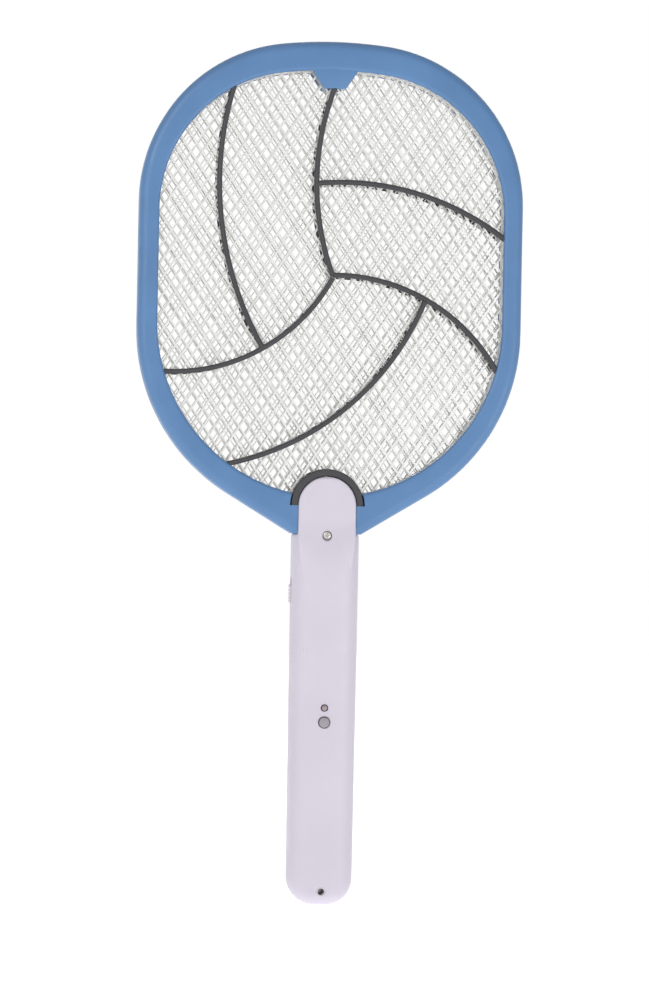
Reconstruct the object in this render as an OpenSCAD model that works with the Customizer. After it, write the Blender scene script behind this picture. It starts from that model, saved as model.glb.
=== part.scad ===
// Electric fly swatter: a blue two-part head frame with three metal nets and dark ribs,
// on a two-part handle that holds the cells, the switches and the high voltage circuit.
//
// X runs across the head, Y from the front face to the back face, Z up the handle to the head's tip.
// Heights are measured from the butt end of the handle. The whole swatter is then lowered by
// grip_z, so that the origin lies on the handle's axis in the middle of the hand.

/* [Overall] */
// Length from the butt end to the tip of the head
overall_l = 450; // [448:1:452]
// Height of the middle of the hand above the butt end
grip_z = 60; // [50:1:80]

/* [Head] */
// Width of the head
head_w = 201; // [199:1:203]
// Radius of the arc along the top of the head
head_top_r = 226; // [222:1:230]
// Distance from the centre line to the centres of the corner arcs
corner_x = 17.2; // [16:0.2:18]
// Height of the centre of the round lower end of the head
head_low_z = 299.7; // [299:0.1:300.4]
// Thickness of the head from front to back
head_t = 19.2; // [19:0.2:20]
// Slope of the neck's edges from the horizontal, in degrees
neck_slope = 31.2; // [30.5:0.1:32]
// Height of the neck's lower edge, where it meets the handle
neck_z = 193.3; // [193:0.1:193.6]
// Width of the band at the sides
band_side = 10.2; // [9.8:0.1:10.6]
// Width of the band at the top
band_top = 15.2; // [14.6:0.1:15.8]
// Radius of the arc along the top of the opening
opening_top_r = 209; // [205:1:213]
// Height of the centre of the round lower end of the opening
opening_low_z = 302.9; // [302.4:0.1:303.4]
// Thickness of the band's outer wall
wall = 2; // [1.8:0.1:2.2]
// Width of the contact box at the band's inner edge
boss_w = 23; // [20:1:26]
// Length of the contact box
boss_l = 9.5; // [8:0.5:11]

/* [Ribs and nets] */
// Width of a rib
rib_w = 2.6; // [2.2:0.1:3]
// Outer radius of the arch around the handle's tongue
arch_r = 19.4; // [18.8:0.1:19.6]
// Thickness of a net
net_t = 0.4; // [0.3:0.1:0.6]
// Width of a diamond opening in a net
mesh_w = 12; // [10:1:14]
// Height of a diamond opening in a net
mesh_h = 16; // [14:1:20]
// Width of the metal between two openings
strand_w = 1.2; // [1:0.1:1.6]
// Width of the spacer ring between two nets
spacer_w = 5.5; // [5:0.1:5.6]

/* [Handle] */
// Width of the handle at the neck
handle_w = 35.2; // [34.8:0.1:35.6]
// Width of the handle at the butt end
butt_w = 34.2; // [33.8:0.1:34.6]
// Thickness of the handle from front to back
handle_t = 28; // [27.6:0.2:28.4]
// Thickness of the handle's walls
shell = 2; // [1.8:0.1:2.2]
// Radius of the rounded butt corners, seen from the front
butt_r = 13.8; // [13:0.1:14.4]
// Radius of the tongue that overlaps the neck
tongue_r = 15.1; // [14.8:0.1:15.2]
// Height of the centre of the tongue's round end
tongue_z = 208; // [207.8:0.1:208.2]
// Height of the hanging hole
hole_z = 7.5; // [7:0.1:8]
// Radius of the hanging hole inside its eyelet
hole_r = 1.7; // [1.5:0.1:1.8]
// Outer radius of the eyelet
eyelet_r = 2.5; // [2.4:0.1:2.6]

/* [Controls] */
// Height of the push button
button_z = 95.5; // [95:0.1:96.5]
// Radius of the push button
button_r = 2.7; // [2.5:0.1:2.8]
// Travel of the push button
button_travel = 1; // [0.6:0.1:1]
// Height of the indicator light
led_z = 103; // [102.6:0.1:103.6]
// Height of the middle of the side switch's slot
slot_z = 163.5; // [163:0.1:164]
// Travel of the side switch
slider_travel = 3.5; // [3:0.1:3.5]

/* [Battery] */
// Radius of a cell
cell_r = 7.1; // [7:0.05:7.2]
// Length of a cell with its nub
cell_l = 50.5; // [50:0.1:50.5]
// Height of the battery tray's lower end
tray_z = 20; // [19.6:0.1:20.4]

/* [Hidden] */
$fn = 48;

blue = "#6c93be";
lavender = "#d8d2de";
charcoal = "#3c3c40";
metal = "#c9cbcf";
half_w = head_w / 2;
half_t = head_t / 2;
opening_w = half_w - band_side;
opening_top_z = overall_l - band_top;
handle_y = handle_t / 2;
// Depths in the head, counted back from the front face at -half_t
rim_y = 6.6;
net_y = 5.6;
live_y = 0.3;
spacer_y = net_y - net_t;
fold_y = 5.5;
top_steps = 3;
corner_steps = 11;
low_steps = 8;
neck_steps = 4;
cell_y = 3.4;
tray_wall = 1.2;
tray_l = 108.6;
cell_z = tray_z + tray_wall + 4.6;
board_y = -5;
board_z = 136;
board_l = 38;
board_t = 1.6;
parts_y = board_y + board_t;
neck_screw_z = 192.5;
gap = 0.3;
// Axis of the battery door: its upper edge is rolled to half the wall's thickness
roll_y = handle_y - shell / 2;
roll_z = 123.7;

// ---------- shared shapes ----------

// Points along an arc in n steps, leaving out the first skip points
function arc(cx, cz, r, from, to, n, skip = 0) =
  [for (i = [skip:n]) let (a = from + (to - from) * i / n) [cx + r * cos(a), cz + r * sin(a)]];

// Right-hand side of the head, from the middle of the top until the lower end has turned by turn
function head_side(w, top_z, top_r, low_z, turn, grow) =
  let (corner_r = w - corner_x, top_c = top_z - top_r,
       corner_z = top_c + sqrt(pow(top_r - corner_r, 2) - pow(corner_x, 2)),
       meet = atan2(corner_z - top_c, corner_x))
  concat(arc(0, top_c, top_r + grow, 90, meet, top_steps),
         arc(corner_x, corner_z, corner_r + grow, meet, 0, corner_steps, 1),
         arc(0, low_z, w + grow, 0, -turn, low_steps));

// Right-hand side of the head's outer outline with its neck; lift raises the neck's lower edge
function outer_side(grow, lift = 0) =
  let (turn = 90 - neck_slope, z = neck_z + lift,
       x = (half_w + grow - sin(turn) * (head_low_z - z)) / cos(turn),
       body = head_side(half_w, overall_l, head_top_r, head_low_z, turn, grow),
       last = body[len(body) - 1])
  concat(body, [(last + [x, z]) / 2, [x, z], [x / 2, z], [0, z]]);

// Right-hand side of the opening inside the band
function opening_side(grow) =
  let (turn = 90 - neck_slope)
  concat(head_side(opening_w, opening_top_z, opening_top_r, opening_low_z, turn, grow),
         arc(0, opening_low_z, opening_w + grow, -turn, -90, neck_steps, 1));

// Closes a right-hand side with its mirror image
function both_sides(side) =
  concat(side, [for (i = [len(side) - 2:-1:1]) [-side[i][0], side[i][1]]]);

function band_loop(place) = place[0] == "outer"
  ? both_sides(outer_side(place[1], place[2])) : both_sides(opening_side(place[1]));

// Carries a section around the head: each place is [edge, grow, lift, depth]
module swept_band(section) {
  loops = [for (place = section) band_loop(place)];
  around = len(loops[0]);
  across = len(section);
  points = [for (j = [0:across - 1]) for (p = loops[j]) [p[0], section[j][3], p[1]]];
  faces = [for (j = [0:across - 1]) for (i = [0:around - 1])
    let (a = j * around + i, b = j * around + (i + 1) % around,
         c = ((j + 1) % across) * around + (i + 1) % around, d = ((j + 1) % across) * around + i)
    each [[a, c, d], [a, b, c]]];
  polyhedron(points, faces, convexity = 8);
}

// Stands a flat shape drawn in X and Z upright, between two depths in Y
module upright(from, to) {
  translate([0, to, 0]) rotate([90, 0, 0]) linear_extrude(to - from, convexity = 6) children();
}

module along_y(r, from, to) {
  translate([0, to, 0]) rotate([90, 0, 0]) cylinder(r = r, h = to - from);
}

module along_x(r, from, to) {
  translate([from, 0, 0]) rotate([0, 90, 0]) cylinder(r = r, h = to - from);
}

// Box given by its lowest and highest corners
module block(low, high) {
  translate(low) cube(high - low);
}

module opening_shape(grow) {
  polygon(both_sides(opening_side(grow)));
}

// Mirrors a front piece into a back piece
module on_back() {
  mirror([0, 1, 0]) children();
}

// Tube swept along a route of points, with closed ends
module tube(route, r, sides = 8, up = [0, 1, 0]) {
  n = len(route);
  function heading(i) = let (d = route[min(i + 1, n - 1)] - route[max(i - 1, 0)]) d / norm(d);
  function across(h) = let (s = cross(h, up)) s / norm(s);
  rings = [for (i = [0:n - 1]) let (h = heading(i), u = across(h), v = cross(h, u))
    for (k = [0:sides - 1]) let (a = 360 * k / sides) route[i] + r * (cos(a) * u + sin(a) * v)];
  walls = [for (i = [0:n - 2]) for (k = [0:sides - 1])
    let (a = i * sides + k, b = i * sides + (k + 1) % sides)
    each [[a, b + sides, b], [a, a + sides, b + sides]]];
  ends = [[for (k = [0:sides - 1]) k], [for (k = [sides - 1:-1:0]) (n - 1) * sides + k]];
  polyhedron(rings, concat(walls, ends), convexity = 6);
}

// Points of a helix around the Z axis
function coil_route(r, turns, h, steps = 14) =
  [for (i = [0:turns * steps]) let (a = 360 * i / steps) [r * cos(a), r * sin(a), h * i / (turns * steps)]];

module at_grip() {
  translate([0, 0, -grip_z]) children();
}

// ---------- head ----------

front_section = [
  ["outer", 0, 0, 0], ["outer", 0, 0, -5.6], ["outer", -0.5, 0, -7.2], ["outer", -1.5, 0, -8.6],
  ["outer", -3, 0, -9.4], ["outer", -4.6, 0, -half_t],
  ["inner", 2.2, 0, -half_t], ["inner", 0.8, 0, -9.1], ["inner", 0, 0, -8.1], ["inner", 0, 0, -rim_y],
  ["inner", 1.6, 0, -rim_y], ["inner", 1.6, 0, -7.7],
  ["outer", -wall - 1, wall, -7.7], ["outer", -wall, wall, -6.6], ["outer", -wall, wall, 0]];
screw_spots = [[34, 442.3], [-34, 442.3], [48, 216.5], [-48, 216.5]];

// Outline of the handle's tongue: round at the top, straight below
module tongue_shape(r) {
  translate([0, tongue_z]) circle(r = r);
  translate([-r, neck_z - 8]) square([2 * r, tongue_z - neck_z + 8]);
}

// Upper half of the arch's disc
module arch_shape(r) {
  intersection() {
    translate([0, tongue_z]) circle(r = r);
    translate([-30, tongue_z]) square([60, 40]);
  }
}

// Contact box in the middle of the top, where the longest rib starts
module contact_box_shape(grow) {
  low = opening_top_z - boss_l - grow;
  x = boss_w / 2 + grow;
  polygon([[-x, opening_top_z + 1], [-x, opening_top_z - 1], [-x / 2, low], [x / 2, low],
    [x, opening_top_z - 1], [x, opening_top_z + 1]]);
}

// One half of the frame, drawn as the front half
module half_frame() {
  difference() {
    union() {
      swept_band(front_section);
      upright(-half_t + 0.5, -net_y) contact_box_shape(0);
      // Stub that the handle clamps
      block([-12, -fold_y, 175], [12, 0, 204]);
      // Screw posts
      for (spot = screw_spots) translate([spot[0], 0, spot[1]]) along_y(2.3, -8, 0);
    }
    upright(-20, -fold_y) {
      tongue_shape(tongue_r + 0.2);
      arch_shape(arch_r + 0.2);
    }
    // Slot for the leads, and a notch where one turns towards the outer nets
    block([-8, -1.4, 160], [8, 1, 207]);
    block([-7, -fold_y - 0.1, 200], [-3, 1, 207]);
    translate([0, 0, neck_screw_z]) along_y(1.7, -20, 1);
    for (spot = screw_spots) translate([spot[0], 0, spot[1]]) along_y(0.85, -6, 1);
  }
}

module front_frame() {
  color(blue) half_frame();
}

module back_frame() {
  color(blue) on_back() difference() {
    half_frame();
    for (spot = screw_spots) translate([spot[0], 0, spot[1]]) {
      along_y(1.1, -20, 1);
      along_y(2.1, -20, -7.6);
    }
  }
}

module frame_screws() {
  color(metal) for (spot = screw_spots) translate([spot[0], 0, spot[1]]) difference() {
    union() {
      along_y(0.8, -5.6, 7.7);
      along_y(1.9, 7.6, 9);
    }
    block([-1.3, 8.4, -0.25], [1.3, 9.5, 0.25]);
    block([-0.25, 8.4, -1.3], [0.25, 9.5, 1.3]);
  }
}

// Curved rib along a circle's arc, drawn in X and Z
module rib(centre, r, from, to) {
  translate(centre) rotate(from) difference() {
    intersection() {
      circle(r = r + rib_w / 2, $fn = 96);
      polygon(concat([[0, 0]], arc(0, 0, r * 1.5, 0, to - from, 6)));
    }
    circle(r = r - rib_w / 2, $fn = 96);
  }
}

module rib_pattern() {
  // Middle rib from the contact box down to the meeting point, and the three-armed centre
  rib([130.9, 377.8], 139.4, 153, 201);
  rib([3.7, 231], 97.3, 24, 91.5);
  rib([-83.3, 371.4], 95.2, -94, -28);
  // Side ribs that run from one arm to the band
  rib([113.4, 377.5], 172.7, 160, 210.5);
  rib([7.6, 237.1], 139.7, 50, 96.4);
  rib([-82.4, 367.2], 141.5, -84, -21.4);
}

// Ribs, their rim under the band, and the arch around the handle's tongue
module rib_grid() {
  difference() {
    union() {
      upright(-9, -net_y) intersection() {
        rib_pattern();
        opening_shape(-0.02);
      }
      // Rib ends that run on under the band into the rim
      upright(-rim_y, -net_y) intersection() {
        rib_pattern();
        opening_shape(2);
      }
      upright(-rim_y, -net_y) difference() {
        opening_shape(spacer_w);
        opening_shape(0);
      }
      upright(-9.2, -net_y) arch_shape(arch_r);
    }
    upright(-20, 0) {
      tongue_shape(tongue_r + 0.2);
      contact_box_shape(0.1);
    }
  }
}

module front_rib_grid() {
  color(charcoal) rib_grid();
}

module back_rib_grid() {
  color(charcoal) on_back() rib_grid();
}

// True where a point lies inside the opening, or less than -margin outside its edge
function in_opening(x, z, margin) =
  let (w = opening_w - margin, shoulder = opening_top_z - opening_w + corner_x)
  abs(x) < w && z < opening_top_z - margin && z > opening_low_z - opening_w
    && (z > opening_low_z || norm([x, z - opening_low_z]) < w)
    && (z < shoulder || norm([max(abs(x) - corner_x, 0), z - shoulder]) < w - corner_x);

// Sheet of metal with rows of diamond openings, and a solder tab at its lower edge
module net(grow, from, to, tab_x, tab_w) {
  wide = mesh_w - strand_w * 1.25;
  high = mesh_h - strand_w * 1.67;
  color(metal) {
    upright(from, to) difference() {
      opening_shape(grow);
      intersection() {
        opening_shape(-0.8);
        for (row = [0:28], column = [-8:8]) {
          x = (column + (row % 2) / 2) * mesh_w;
          z = opening_top_z + 2 - row * mesh_h / 2;
          if (in_opening(x, z, -3.5)) translate([x, z])
            polygon([[wide / 2, 0], [0, high / 2], [-wide / 2, 0], [0, -high / 2]]);
        }
      }
    }
    block([tab_x, from, 205], [tab_x + tab_w, to, 210]);
  }
}

module front_net() {
  net(spacer_w - 0.4, -net_y, -net_y + net_t, -9.4, 6);
}

module back_net() {
  net(spacer_w - 0.4, net_y - net_t, net_y, -9.4, 3);
}

module live_net() {
  net(spacer_w - 1.4, -live_y, live_y, 2.4, 3);
}

// Strip that joins the two outer nets under the spacers
module net_link() {
  color(metal) {
    block([-9, -spacer_y, 204.2], [-7, spacer_y, 204.6]);
    for (y = [-spacer_y, spacer_y - 0.4]) block([-9, y, 204.2], [-7, y + 0.4, 206.8]);
  }
}

module spacer() {
  upright(-spacer_y, -live_y) difference() {
    opening_shape(spacer_w);
    opening_shape(0.2);
  }
}

module front_spacer() {
  color("#e8e6e2") spacer();
}

module back_spacer() {
  color("#e8e6e2") on_back() spacer();
}

// ---------- handle ----------

// Outline of the handle seen from the front, smaller by inset all round
module handle_outline(inset) {
  low = butt_w / 2 - inset;
  r = butt_r - inset;
  side = concat([[0, inset]], arc(low - r, inset + r, r, -90, 0, 6),
    [[handle_w / 2 - inset, neck_z - inset]]);
  polygon(concat(side, [for (i = [len(side) - 1:-1:0]) [-side[i][0], side[i][1]]]));
}

// Outline of the handle seen from the side, narrowing towards the tongue
module side_outline(inset) {
  y = handle_y - inset;
  side = concat(arc(y - 7 + inset, 7, 7 - inset, -90, 0, 4),
    [[y, 172], [y - 0.5, 182], [11.4 - inset, 197], [10.6 - inset, 224]]);
  polygon(concat(side, [for (i = [len(side) - 1:-1:0]) [-side[i][0], side[i][1]]]));
}

// Cross-section of the handle, flat in the middle with broad round corners
module handle_section(inset) {
  x = handle_w / 2 - inset;
  y = handle_y - inset;
  r = 10.5 - inset;
  quarter = arc(x - r, y - r, r, 0, 90, 7);
  half = concat(quarter, [for (i = [len(quarter) - 1:-1:0]) [-quarter[i][0], quarter[i][1]]]);
  polygon(concat(half, [for (i = [len(half) - 1:-1:0]) [half[i][0], -half[i][1]]]));
}

module handle_body(inset) {
  intersection() {
    linear_extrude(neck_z + 10) handle_section(inset);
    upright(-20, 20) handle_outline(inset);
    rotate([90, 0, 90]) translate([0, 0, -25]) linear_extrude(50) side_outline(inset);
  }
}

// Tongue on one face, lying in the arch
module tongue() {
  intersection() {
    upright(-20, -fold_y - 0.1) tongue_shape(tongue_r);
    rotate([90, 0, 90]) translate([0, 0, -25]) linear_extrude(50) side_outline(0);
  }
}

tray_top = tray_z + tray_l;
back_screws = [[0, 15.2], [8.5, 132.4], [-8.5, 132.4]];
door_low = 22;
door_high = 125;
door_w = 21;

// Half of the handle with its walls and the shared holes, drawn as the front half
module half_handle() {
  difference() {
    union() {
      difference() {
        handle_body(0);
        handle_body(shell);
        // Opening in the top wall for the stub and the leads
        block([-12.3, -fold_y - 0.1, 185], [12.3, fold_y + 0.1, 200]);
      }
      tongue();
      intersection() {
        union() {
          translate([0, 0, hole_z]) along_y(eyelet_r + 1.7, -14, 0);
          for (spot = back_screws) translate([spot[0], 0, spot[1]]) along_y(2.9, -14, -0.05);
          translate([0, 0, neck_screw_z]) along_y(3.4, -14, -fold_y - 0.1);
        }
        handle_body(0.5);
      }
    }
    // Nothing behind the parting plane
    block([-30, 0, -5], [30, 30, 230]);
    translate([0, 0, hole_z]) along_y(eyelet_r, -20, 1);
    translate([0, 0, neck_screw_z]) along_y(1.35, -20, 1);
    // Slot of the side switch
    block([-20, -3.3, slot_z - 6.8], [-15, 1, slot_z + 6.8]);
  }
}

module handle_front() {
  color(lavender) difference() {
    union() {
      half_handle();
      // Posts for the circuit board
      for (spot = board_spots) translate([spot[0], 0, spot[1]]) along_y(2.4, -12.5, board_y);
      // Ledges that hold the small board
      for (z = [84, 106.4]) block([-7, -12.5, z], [7, -6.4, z + 1.6]);
    }
    translate([0, 0, button_z]) along_y(button_r + gap, -20, -10);
    translate([0, 0, led_z]) along_y(1.85, -20, -10);
    translate([0, 0, neck_screw_z]) along_y(2.5, -20, -10);
    for (spot = back_screws) translate([spot[0], 0, spot[1]]) along_y(1.05, -11, 1);
    for (spot = board_spots) translate([spot[0], 0, spot[1]]) along_y(0.95, -11, 1);
  }
}

module handle_back() {
  color(lavender) difference() {
    on_back() half_handle();
    block([-door_w / 2, 5, door_low], [door_w / 2, 20, door_high]);
    for (spot = back_screws) translate([spot[0], 0, spot[1]]) {
      along_y(1.35, -1, 20);
      along_y(2.4, 11.2, 20);
    }
  }
}

// Screw along Y with a cross-slotted head at its high end
module screw(r, head_r, tip, neck, top) {
  difference() {
    union() {
      along_y(r, tip, neck + 0.1);
      along_y(head_r, neck, top);
    }
    block([-head_r * 0.7, top - 0.7, -0.3], [head_r * 0.7, top + 1, 0.3]);
    block([-0.3, top - 0.7, -head_r * 0.7], [0.3, top + 1, head_r * 0.7]);
  }
}

module handle_screws() {
  color(metal) {
    translate([0, 0, neck_screw_z]) on_back() screw(1.3, 2.3, -9.4, 10, 11.4);
    for (spot = back_screws) translate([spot[0], 0, spot[1]]) screw(1, 2.2, -10.5, 11.2, 12.7);
  }
}

// Grey lining of the hanging hole, flush with both faces of the handle
module hanging_eyelet() {
  color("#8c8890") translate([0, 0, hole_z]) difference() {
    along_y(eyelet_r, -handle_y, handle_y);
    along_y(hole_r, -handle_y - 1, handle_y + 1);
  }
}

module battery_door() {
  color(lavender) difference() {
    union() {
      intersection() {
        difference() {
          handle_body(0);
          handle_body(shell);
        }
        union() {
          block([-door_w / 2 + gap, 5, door_low + gap], [door_w / 2 - gap, 20, roll_z]);
          translate([0, roll_y, roll_z]) along_x(shell / 2 - 0.02, -door_w / 2 + gap, door_w / 2 - gap);
        }
      }
      // Two tabs that hook under the edge of the opening, and the latch at the other end
      for (x = [-8.2, 5.2]) {
        block([x, 10, door_high - 4], [x + 3, 11.6, door_high + 1.8]);
        block([x, 11.5, door_high - 4], [x + 3, 12.2, roll_z]);
      }
      block([-3, 9.8, door_low + 0.4], [3, 12.2, door_low + 1.8]);
    }
    // Finger grooves
    for (i = [0:4]) translate([0, handle_y + 0.5, door_low + 7 + 2.4 * i]) along_x(0.9, -5, 5);
  }
}

// ---------- battery ----------

module battery_tray() {
  inner = cell_r + 0.4;
  color("#e4e2e8") difference() {
    block([-inner - tray_wall, board_y - 0.2, tray_z], [inner + tray_wall, 7, tray_top]);
    block([-inner, board_y - 0.2 + tray_wall, tray_z + tray_wall], [inner, 8, tray_top - tray_wall]);
    // Notches for the leads
    block([-2, 3, tray_z - 1], [2, 8, tray_z + 2]);
    block([-2, 3, tray_top - 2], [2, 8, tray_top + 1]);
  }
}

module cell(z) {
  translate([0, cell_y, z]) {
    cylinder(r = cell_r, h = cell_l - 1);
    translate([0, 0, cell_l - 1.2]) cylinder(r = 2.7, h = 1.2);
  }
}

module lower_cell() {
  color("#2f6f45") cell(cell_z);
}

module upper_cell() {
  color("#2f6f45") cell(cell_z + cell_l);
}

module battery_spring() {
  color(metal) {
    translate([0, cell_y, tray_z + tray_wall + 0.75]) tube(coil_route(3.2, 4, 3.5), 0.3, 6, [0, 0, 1]);
    block([-4.5, cell_y - 4.5, tray_z + tray_wall], [4.5, cell_y + 4.5, tray_z + tray_wall + 0.4]);
  }
}

module battery_plate() {
  z = cell_z + 2 * cell_l;
  color(metal) {
    block([-5, cell_y - 5, z], [5, cell_y + 5, z + 0.4]);
    block([-1.5, cell_y + 1, z + 0.3], [1.5, cell_y + 1.5, z + 1.6]);
  }
}

// ---------- controls ----------

module push_button() {
  color("#8c8890") translate([0, 0, button_z]) {
    along_y(button_r, -15.3, -11.4);
    along_y(3.8, -11.7, -11.1);
    along_y(1.2, -11.2, -8.1);
  }
}

module button_spring() {
  color(metal) translate([0, -8.8, button_z]) rotate([90, 0, 0])
    tube(coil_route(2, 3, 2.1), 0.17, 6, [0, 0, 1]);
}

module momentary_switch() {
  color("#222226") translate([0, 0, button_z]) difference() {
    block([-3, -8.6, -3], [3, -6.5, 3]);
    along_y(1.25, -9, button_travel - 7.9);
  }
}

module button_board() {
  color("#2f6b3c") block([-6.5, -6.4, 86.4], [6.5, -5.4, 105.9]);
}

module indicator_light() {
  color("#8c4a4a") translate([0, 0, led_z]) {
    along_y(1.5, -14, -9.5);
    translate([0, -14, 0]) sphere(r = 1.5);
    along_y(1.8, -9.8, -9);
    for (x = [-0.8, 0.8]) translate([x, 0, 0]) along_y(0.25, -9.2, -6.4);
  }
}

module switch_slider() {
  color(lavender) difference() {
    union() {
      block([-18.5, -3, slot_z - 6.5], [-15, 3, slot_z + 3.1]);
      block([-15.2, -4.4, slot_z - 10.4], [-14.5, 4.4, slot_z + 8]);
      block([-14.6, -1, slot_z - 3], [-11.2, 1, slot_z]);
    }
    for (i = [0:3]) block([-19, -4, slot_z - 5.2 + 2 * i], [-18.1, 4, slot_z - 4.4 + 2 * i]);
  }
}

module slide_switch() {
  color("#c7c9cd") difference() {
    block([-12.6, parts_y, slot_z - 6], [-8, 3.4, slot_z + 6]);
    block([-13, -1.3, slot_z - 3.4], [-10.8, 1.3, slot_z + slider_travel + 0.4]);
  }
}

// ---------- circuit ----------

board_spots = [[-8.5, 140], [8.5, 170.5]];

module circuit_board() {
  color("#2f6b3c") difference() {
    block([-13, board_y, board_z], [13, parts_y, board_z + board_l]);
    for (spot = board_spots) translate([spot[0], 0, spot[1]]) along_y(1.1, -10, 0);
  }
}

module board_screws() {
  color(metal) for (spot = board_spots)
    translate([spot[0], 0, spot[1]]) screw(0.9, 1.8, -10, parts_y, -2.1);
}

// Core of two E shapes around the winding
module transformer_core() {
  color("#3a3a3e") translate([2.5, 0, 145]) difference() {
    block([-6.5, 0.4, -6], [6.5, 4.8, 6]);
    for (x = [-4.6, 2]) block([x, -1, -4.2], [x + 2.6, 6, 4.2]);
  }
}

module transformer_winding() {
  color("#b8862f") translate([2.5, 0, 145]) difference() {
    block([-4.5, parts_y, -4.1], [4.5, 8.2, 4.1]);
    block([-2.05, 0.3, -5], [2.05, 4.9, 5]);
  }
}

module power_transistor() {
  color("#232326") translate([-7.5, 0, 153]) {
    block([-2.3, -0.6, -1.6], [2.3, 3.6, 1.2]);
    for (x = [-1.3, 0, 1.3]) block([x - 0.2, parts_y, -0.2], [x + 0.2, -0.5, 0.2]);
  }
}

// Round body across the board with a wire leg at each end
module axial_part(r, l, x, z) {
  translate([x, 0, z]) {
    translate([0, parts_y + r + 0.3, 0]) {
      along_x(r, -l / 2, l / 2);
      along_x(0.35, -l / 2 - 1.6, l / 2 + 1.6);
    }
    for (side = [-1, 1]) translate([side * (l / 2 + 1.4), 0, 0]) along_y(0.35, parts_y, parts_y + r + 0.3);
  }
}

module rectifier_diodes() {
  color("#2b2b2f") for (i = [0:2]) axial_part(1.3, 4.4, 8.4, 154.4 + 3.6 * i);
}

module discharge_resistors() {
  color("#c2a27a") for (i = [0:2]) axial_part(1.1, 4.6, -7.6, 143 + 3.2 * i);
}

module storage_capacitor() {
  color("#7a3b22") translate([0.2, 0, 160.5]) {
    translate([0, parts_y + 1, 0]) block([-3.3, 0, -6.5], [3.3, 10, 6.5]);
    for (z = [-5, 5]) translate([0, 0, z]) along_y(0.4, parts_y, parts_y + 1.2);
  }
}

// ---------- leads ----------

lead_r = 0.55;
red_route = [[0, 5.2, 128.5], [0, 6.6, 131], [1, 6.6, 134], [3, 4, 136.4], [6, 0, 137.4], [9, -1.6, 137.6],
  [10, -2.9, 137.6]];
black_route = [[0, 5.2, 20.9], [0, 5.8, 19.4], [4, 4, 18.9], [8, -2, 18.8], [9.4, -6.4, 20], [9, -7.6, 24],
  [8.4, -7.6, 60], [8.4, -7.6, 104], [8, -7.6, 112], [5, -7.6, 120], [3, -7.6, 126], [2.6, -7.6, 132],
  [3.4, -7, 136], [4.4, -6.3, 138.6], [5, -5.8, 140]];
live_route = [[2, -3.1, 171.5], [2.6, -1.2, 172.4], [3.4, 0, 174.5], [4, 0, 185], [4, 0, 198],
  [4, 0, 204.8]];
ground_route = [[-2, -3.1, 171.5], [-2.6, -1.2, 172.4], [-3.4, 0, 174.5], [-4, 0, 185], [-4, 0, 198],
  [-4.6, -1, 202.5], [-5, -3.4, 205.4], [-5, -5.1, 206]];

module red_lead() {
  color("#b3261e") tube(red_route, lead_r);
}

module black_lead() {
  color("#1f1f22") tube(black_route, lead_r);
}

module live_lead() {
  color("#b3261e") tube(live_route, lead_r);
}

module ground_lead() {
  color("#1f1f22") tube(ground_route, lead_r);
}

at_grip() {
  front_frame();
  back_frame();
  front_rib_grid();
  back_rib_grid();
  front_net();
  live_net();
  back_net();
  net_link();
  front_spacer();
  back_spacer();
  frame_screws();
  handle_front();
  handle_back();
  handle_screws();
  hanging_eyelet();
  battery_door();
  battery_tray();
  lower_cell();
  upper_cell();
  battery_spring();
  battery_plate();
  push_button();
  button_spring();
  momentary_switch();
  button_board();
  indicator_light();
  switch_slider();
  slide_switch();
  circuit_board();
  board_screws();
  transformer_core();
  transformer_winding();
  power_transistor();
  rectifier_diodes();
  discharge_resistors();
  storage_capacitor();
  red_lead();
  black_lead();
  live_lead();
  ground_lead();
}
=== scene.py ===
# %% [markdown]
# # An electric fly swatter
# The swatter is a flat racket. Two blue half-frames hold three metal nets apart, dark curved ribs
# brace the outer nets, and a pale two-part handle carries the cells, the circuit and the controls.
# The engineering model is already packed, so this lesson dresses it: pieces whose shape is good
# enough keep their mesh and get a better finish, and the shells, nets and ribs are built again
# with smooth surfaces in exactly the same places.

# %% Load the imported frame
import math

import bmesh
import bpy
from mathutils import Matrix, Vector


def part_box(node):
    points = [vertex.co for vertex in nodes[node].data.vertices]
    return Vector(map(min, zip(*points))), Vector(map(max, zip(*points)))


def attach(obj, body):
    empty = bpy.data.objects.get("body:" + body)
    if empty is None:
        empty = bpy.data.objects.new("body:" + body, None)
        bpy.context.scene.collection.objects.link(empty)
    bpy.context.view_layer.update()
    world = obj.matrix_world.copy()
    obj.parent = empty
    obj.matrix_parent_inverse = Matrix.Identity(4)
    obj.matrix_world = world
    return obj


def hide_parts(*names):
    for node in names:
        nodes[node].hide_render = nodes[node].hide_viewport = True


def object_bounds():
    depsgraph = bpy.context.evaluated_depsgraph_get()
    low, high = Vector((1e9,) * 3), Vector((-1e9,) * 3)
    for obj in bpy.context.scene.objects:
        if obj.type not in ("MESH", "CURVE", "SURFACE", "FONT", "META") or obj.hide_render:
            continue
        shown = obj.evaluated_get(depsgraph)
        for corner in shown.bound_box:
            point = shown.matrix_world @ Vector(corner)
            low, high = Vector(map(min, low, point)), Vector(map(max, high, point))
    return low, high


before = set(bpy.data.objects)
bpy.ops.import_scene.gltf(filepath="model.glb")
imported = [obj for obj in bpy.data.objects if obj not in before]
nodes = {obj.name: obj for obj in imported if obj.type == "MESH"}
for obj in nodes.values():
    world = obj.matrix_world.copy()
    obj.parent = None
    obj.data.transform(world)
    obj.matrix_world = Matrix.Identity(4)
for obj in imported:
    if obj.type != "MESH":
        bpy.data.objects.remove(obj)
cad_box = [list(corner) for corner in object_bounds()]
MM = 0.001
butt_z = cad_box[0][2] / MM
print("CAD box in mm:", [[round(v / MM, 1) for v in corner] for corner in cad_box])

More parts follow.
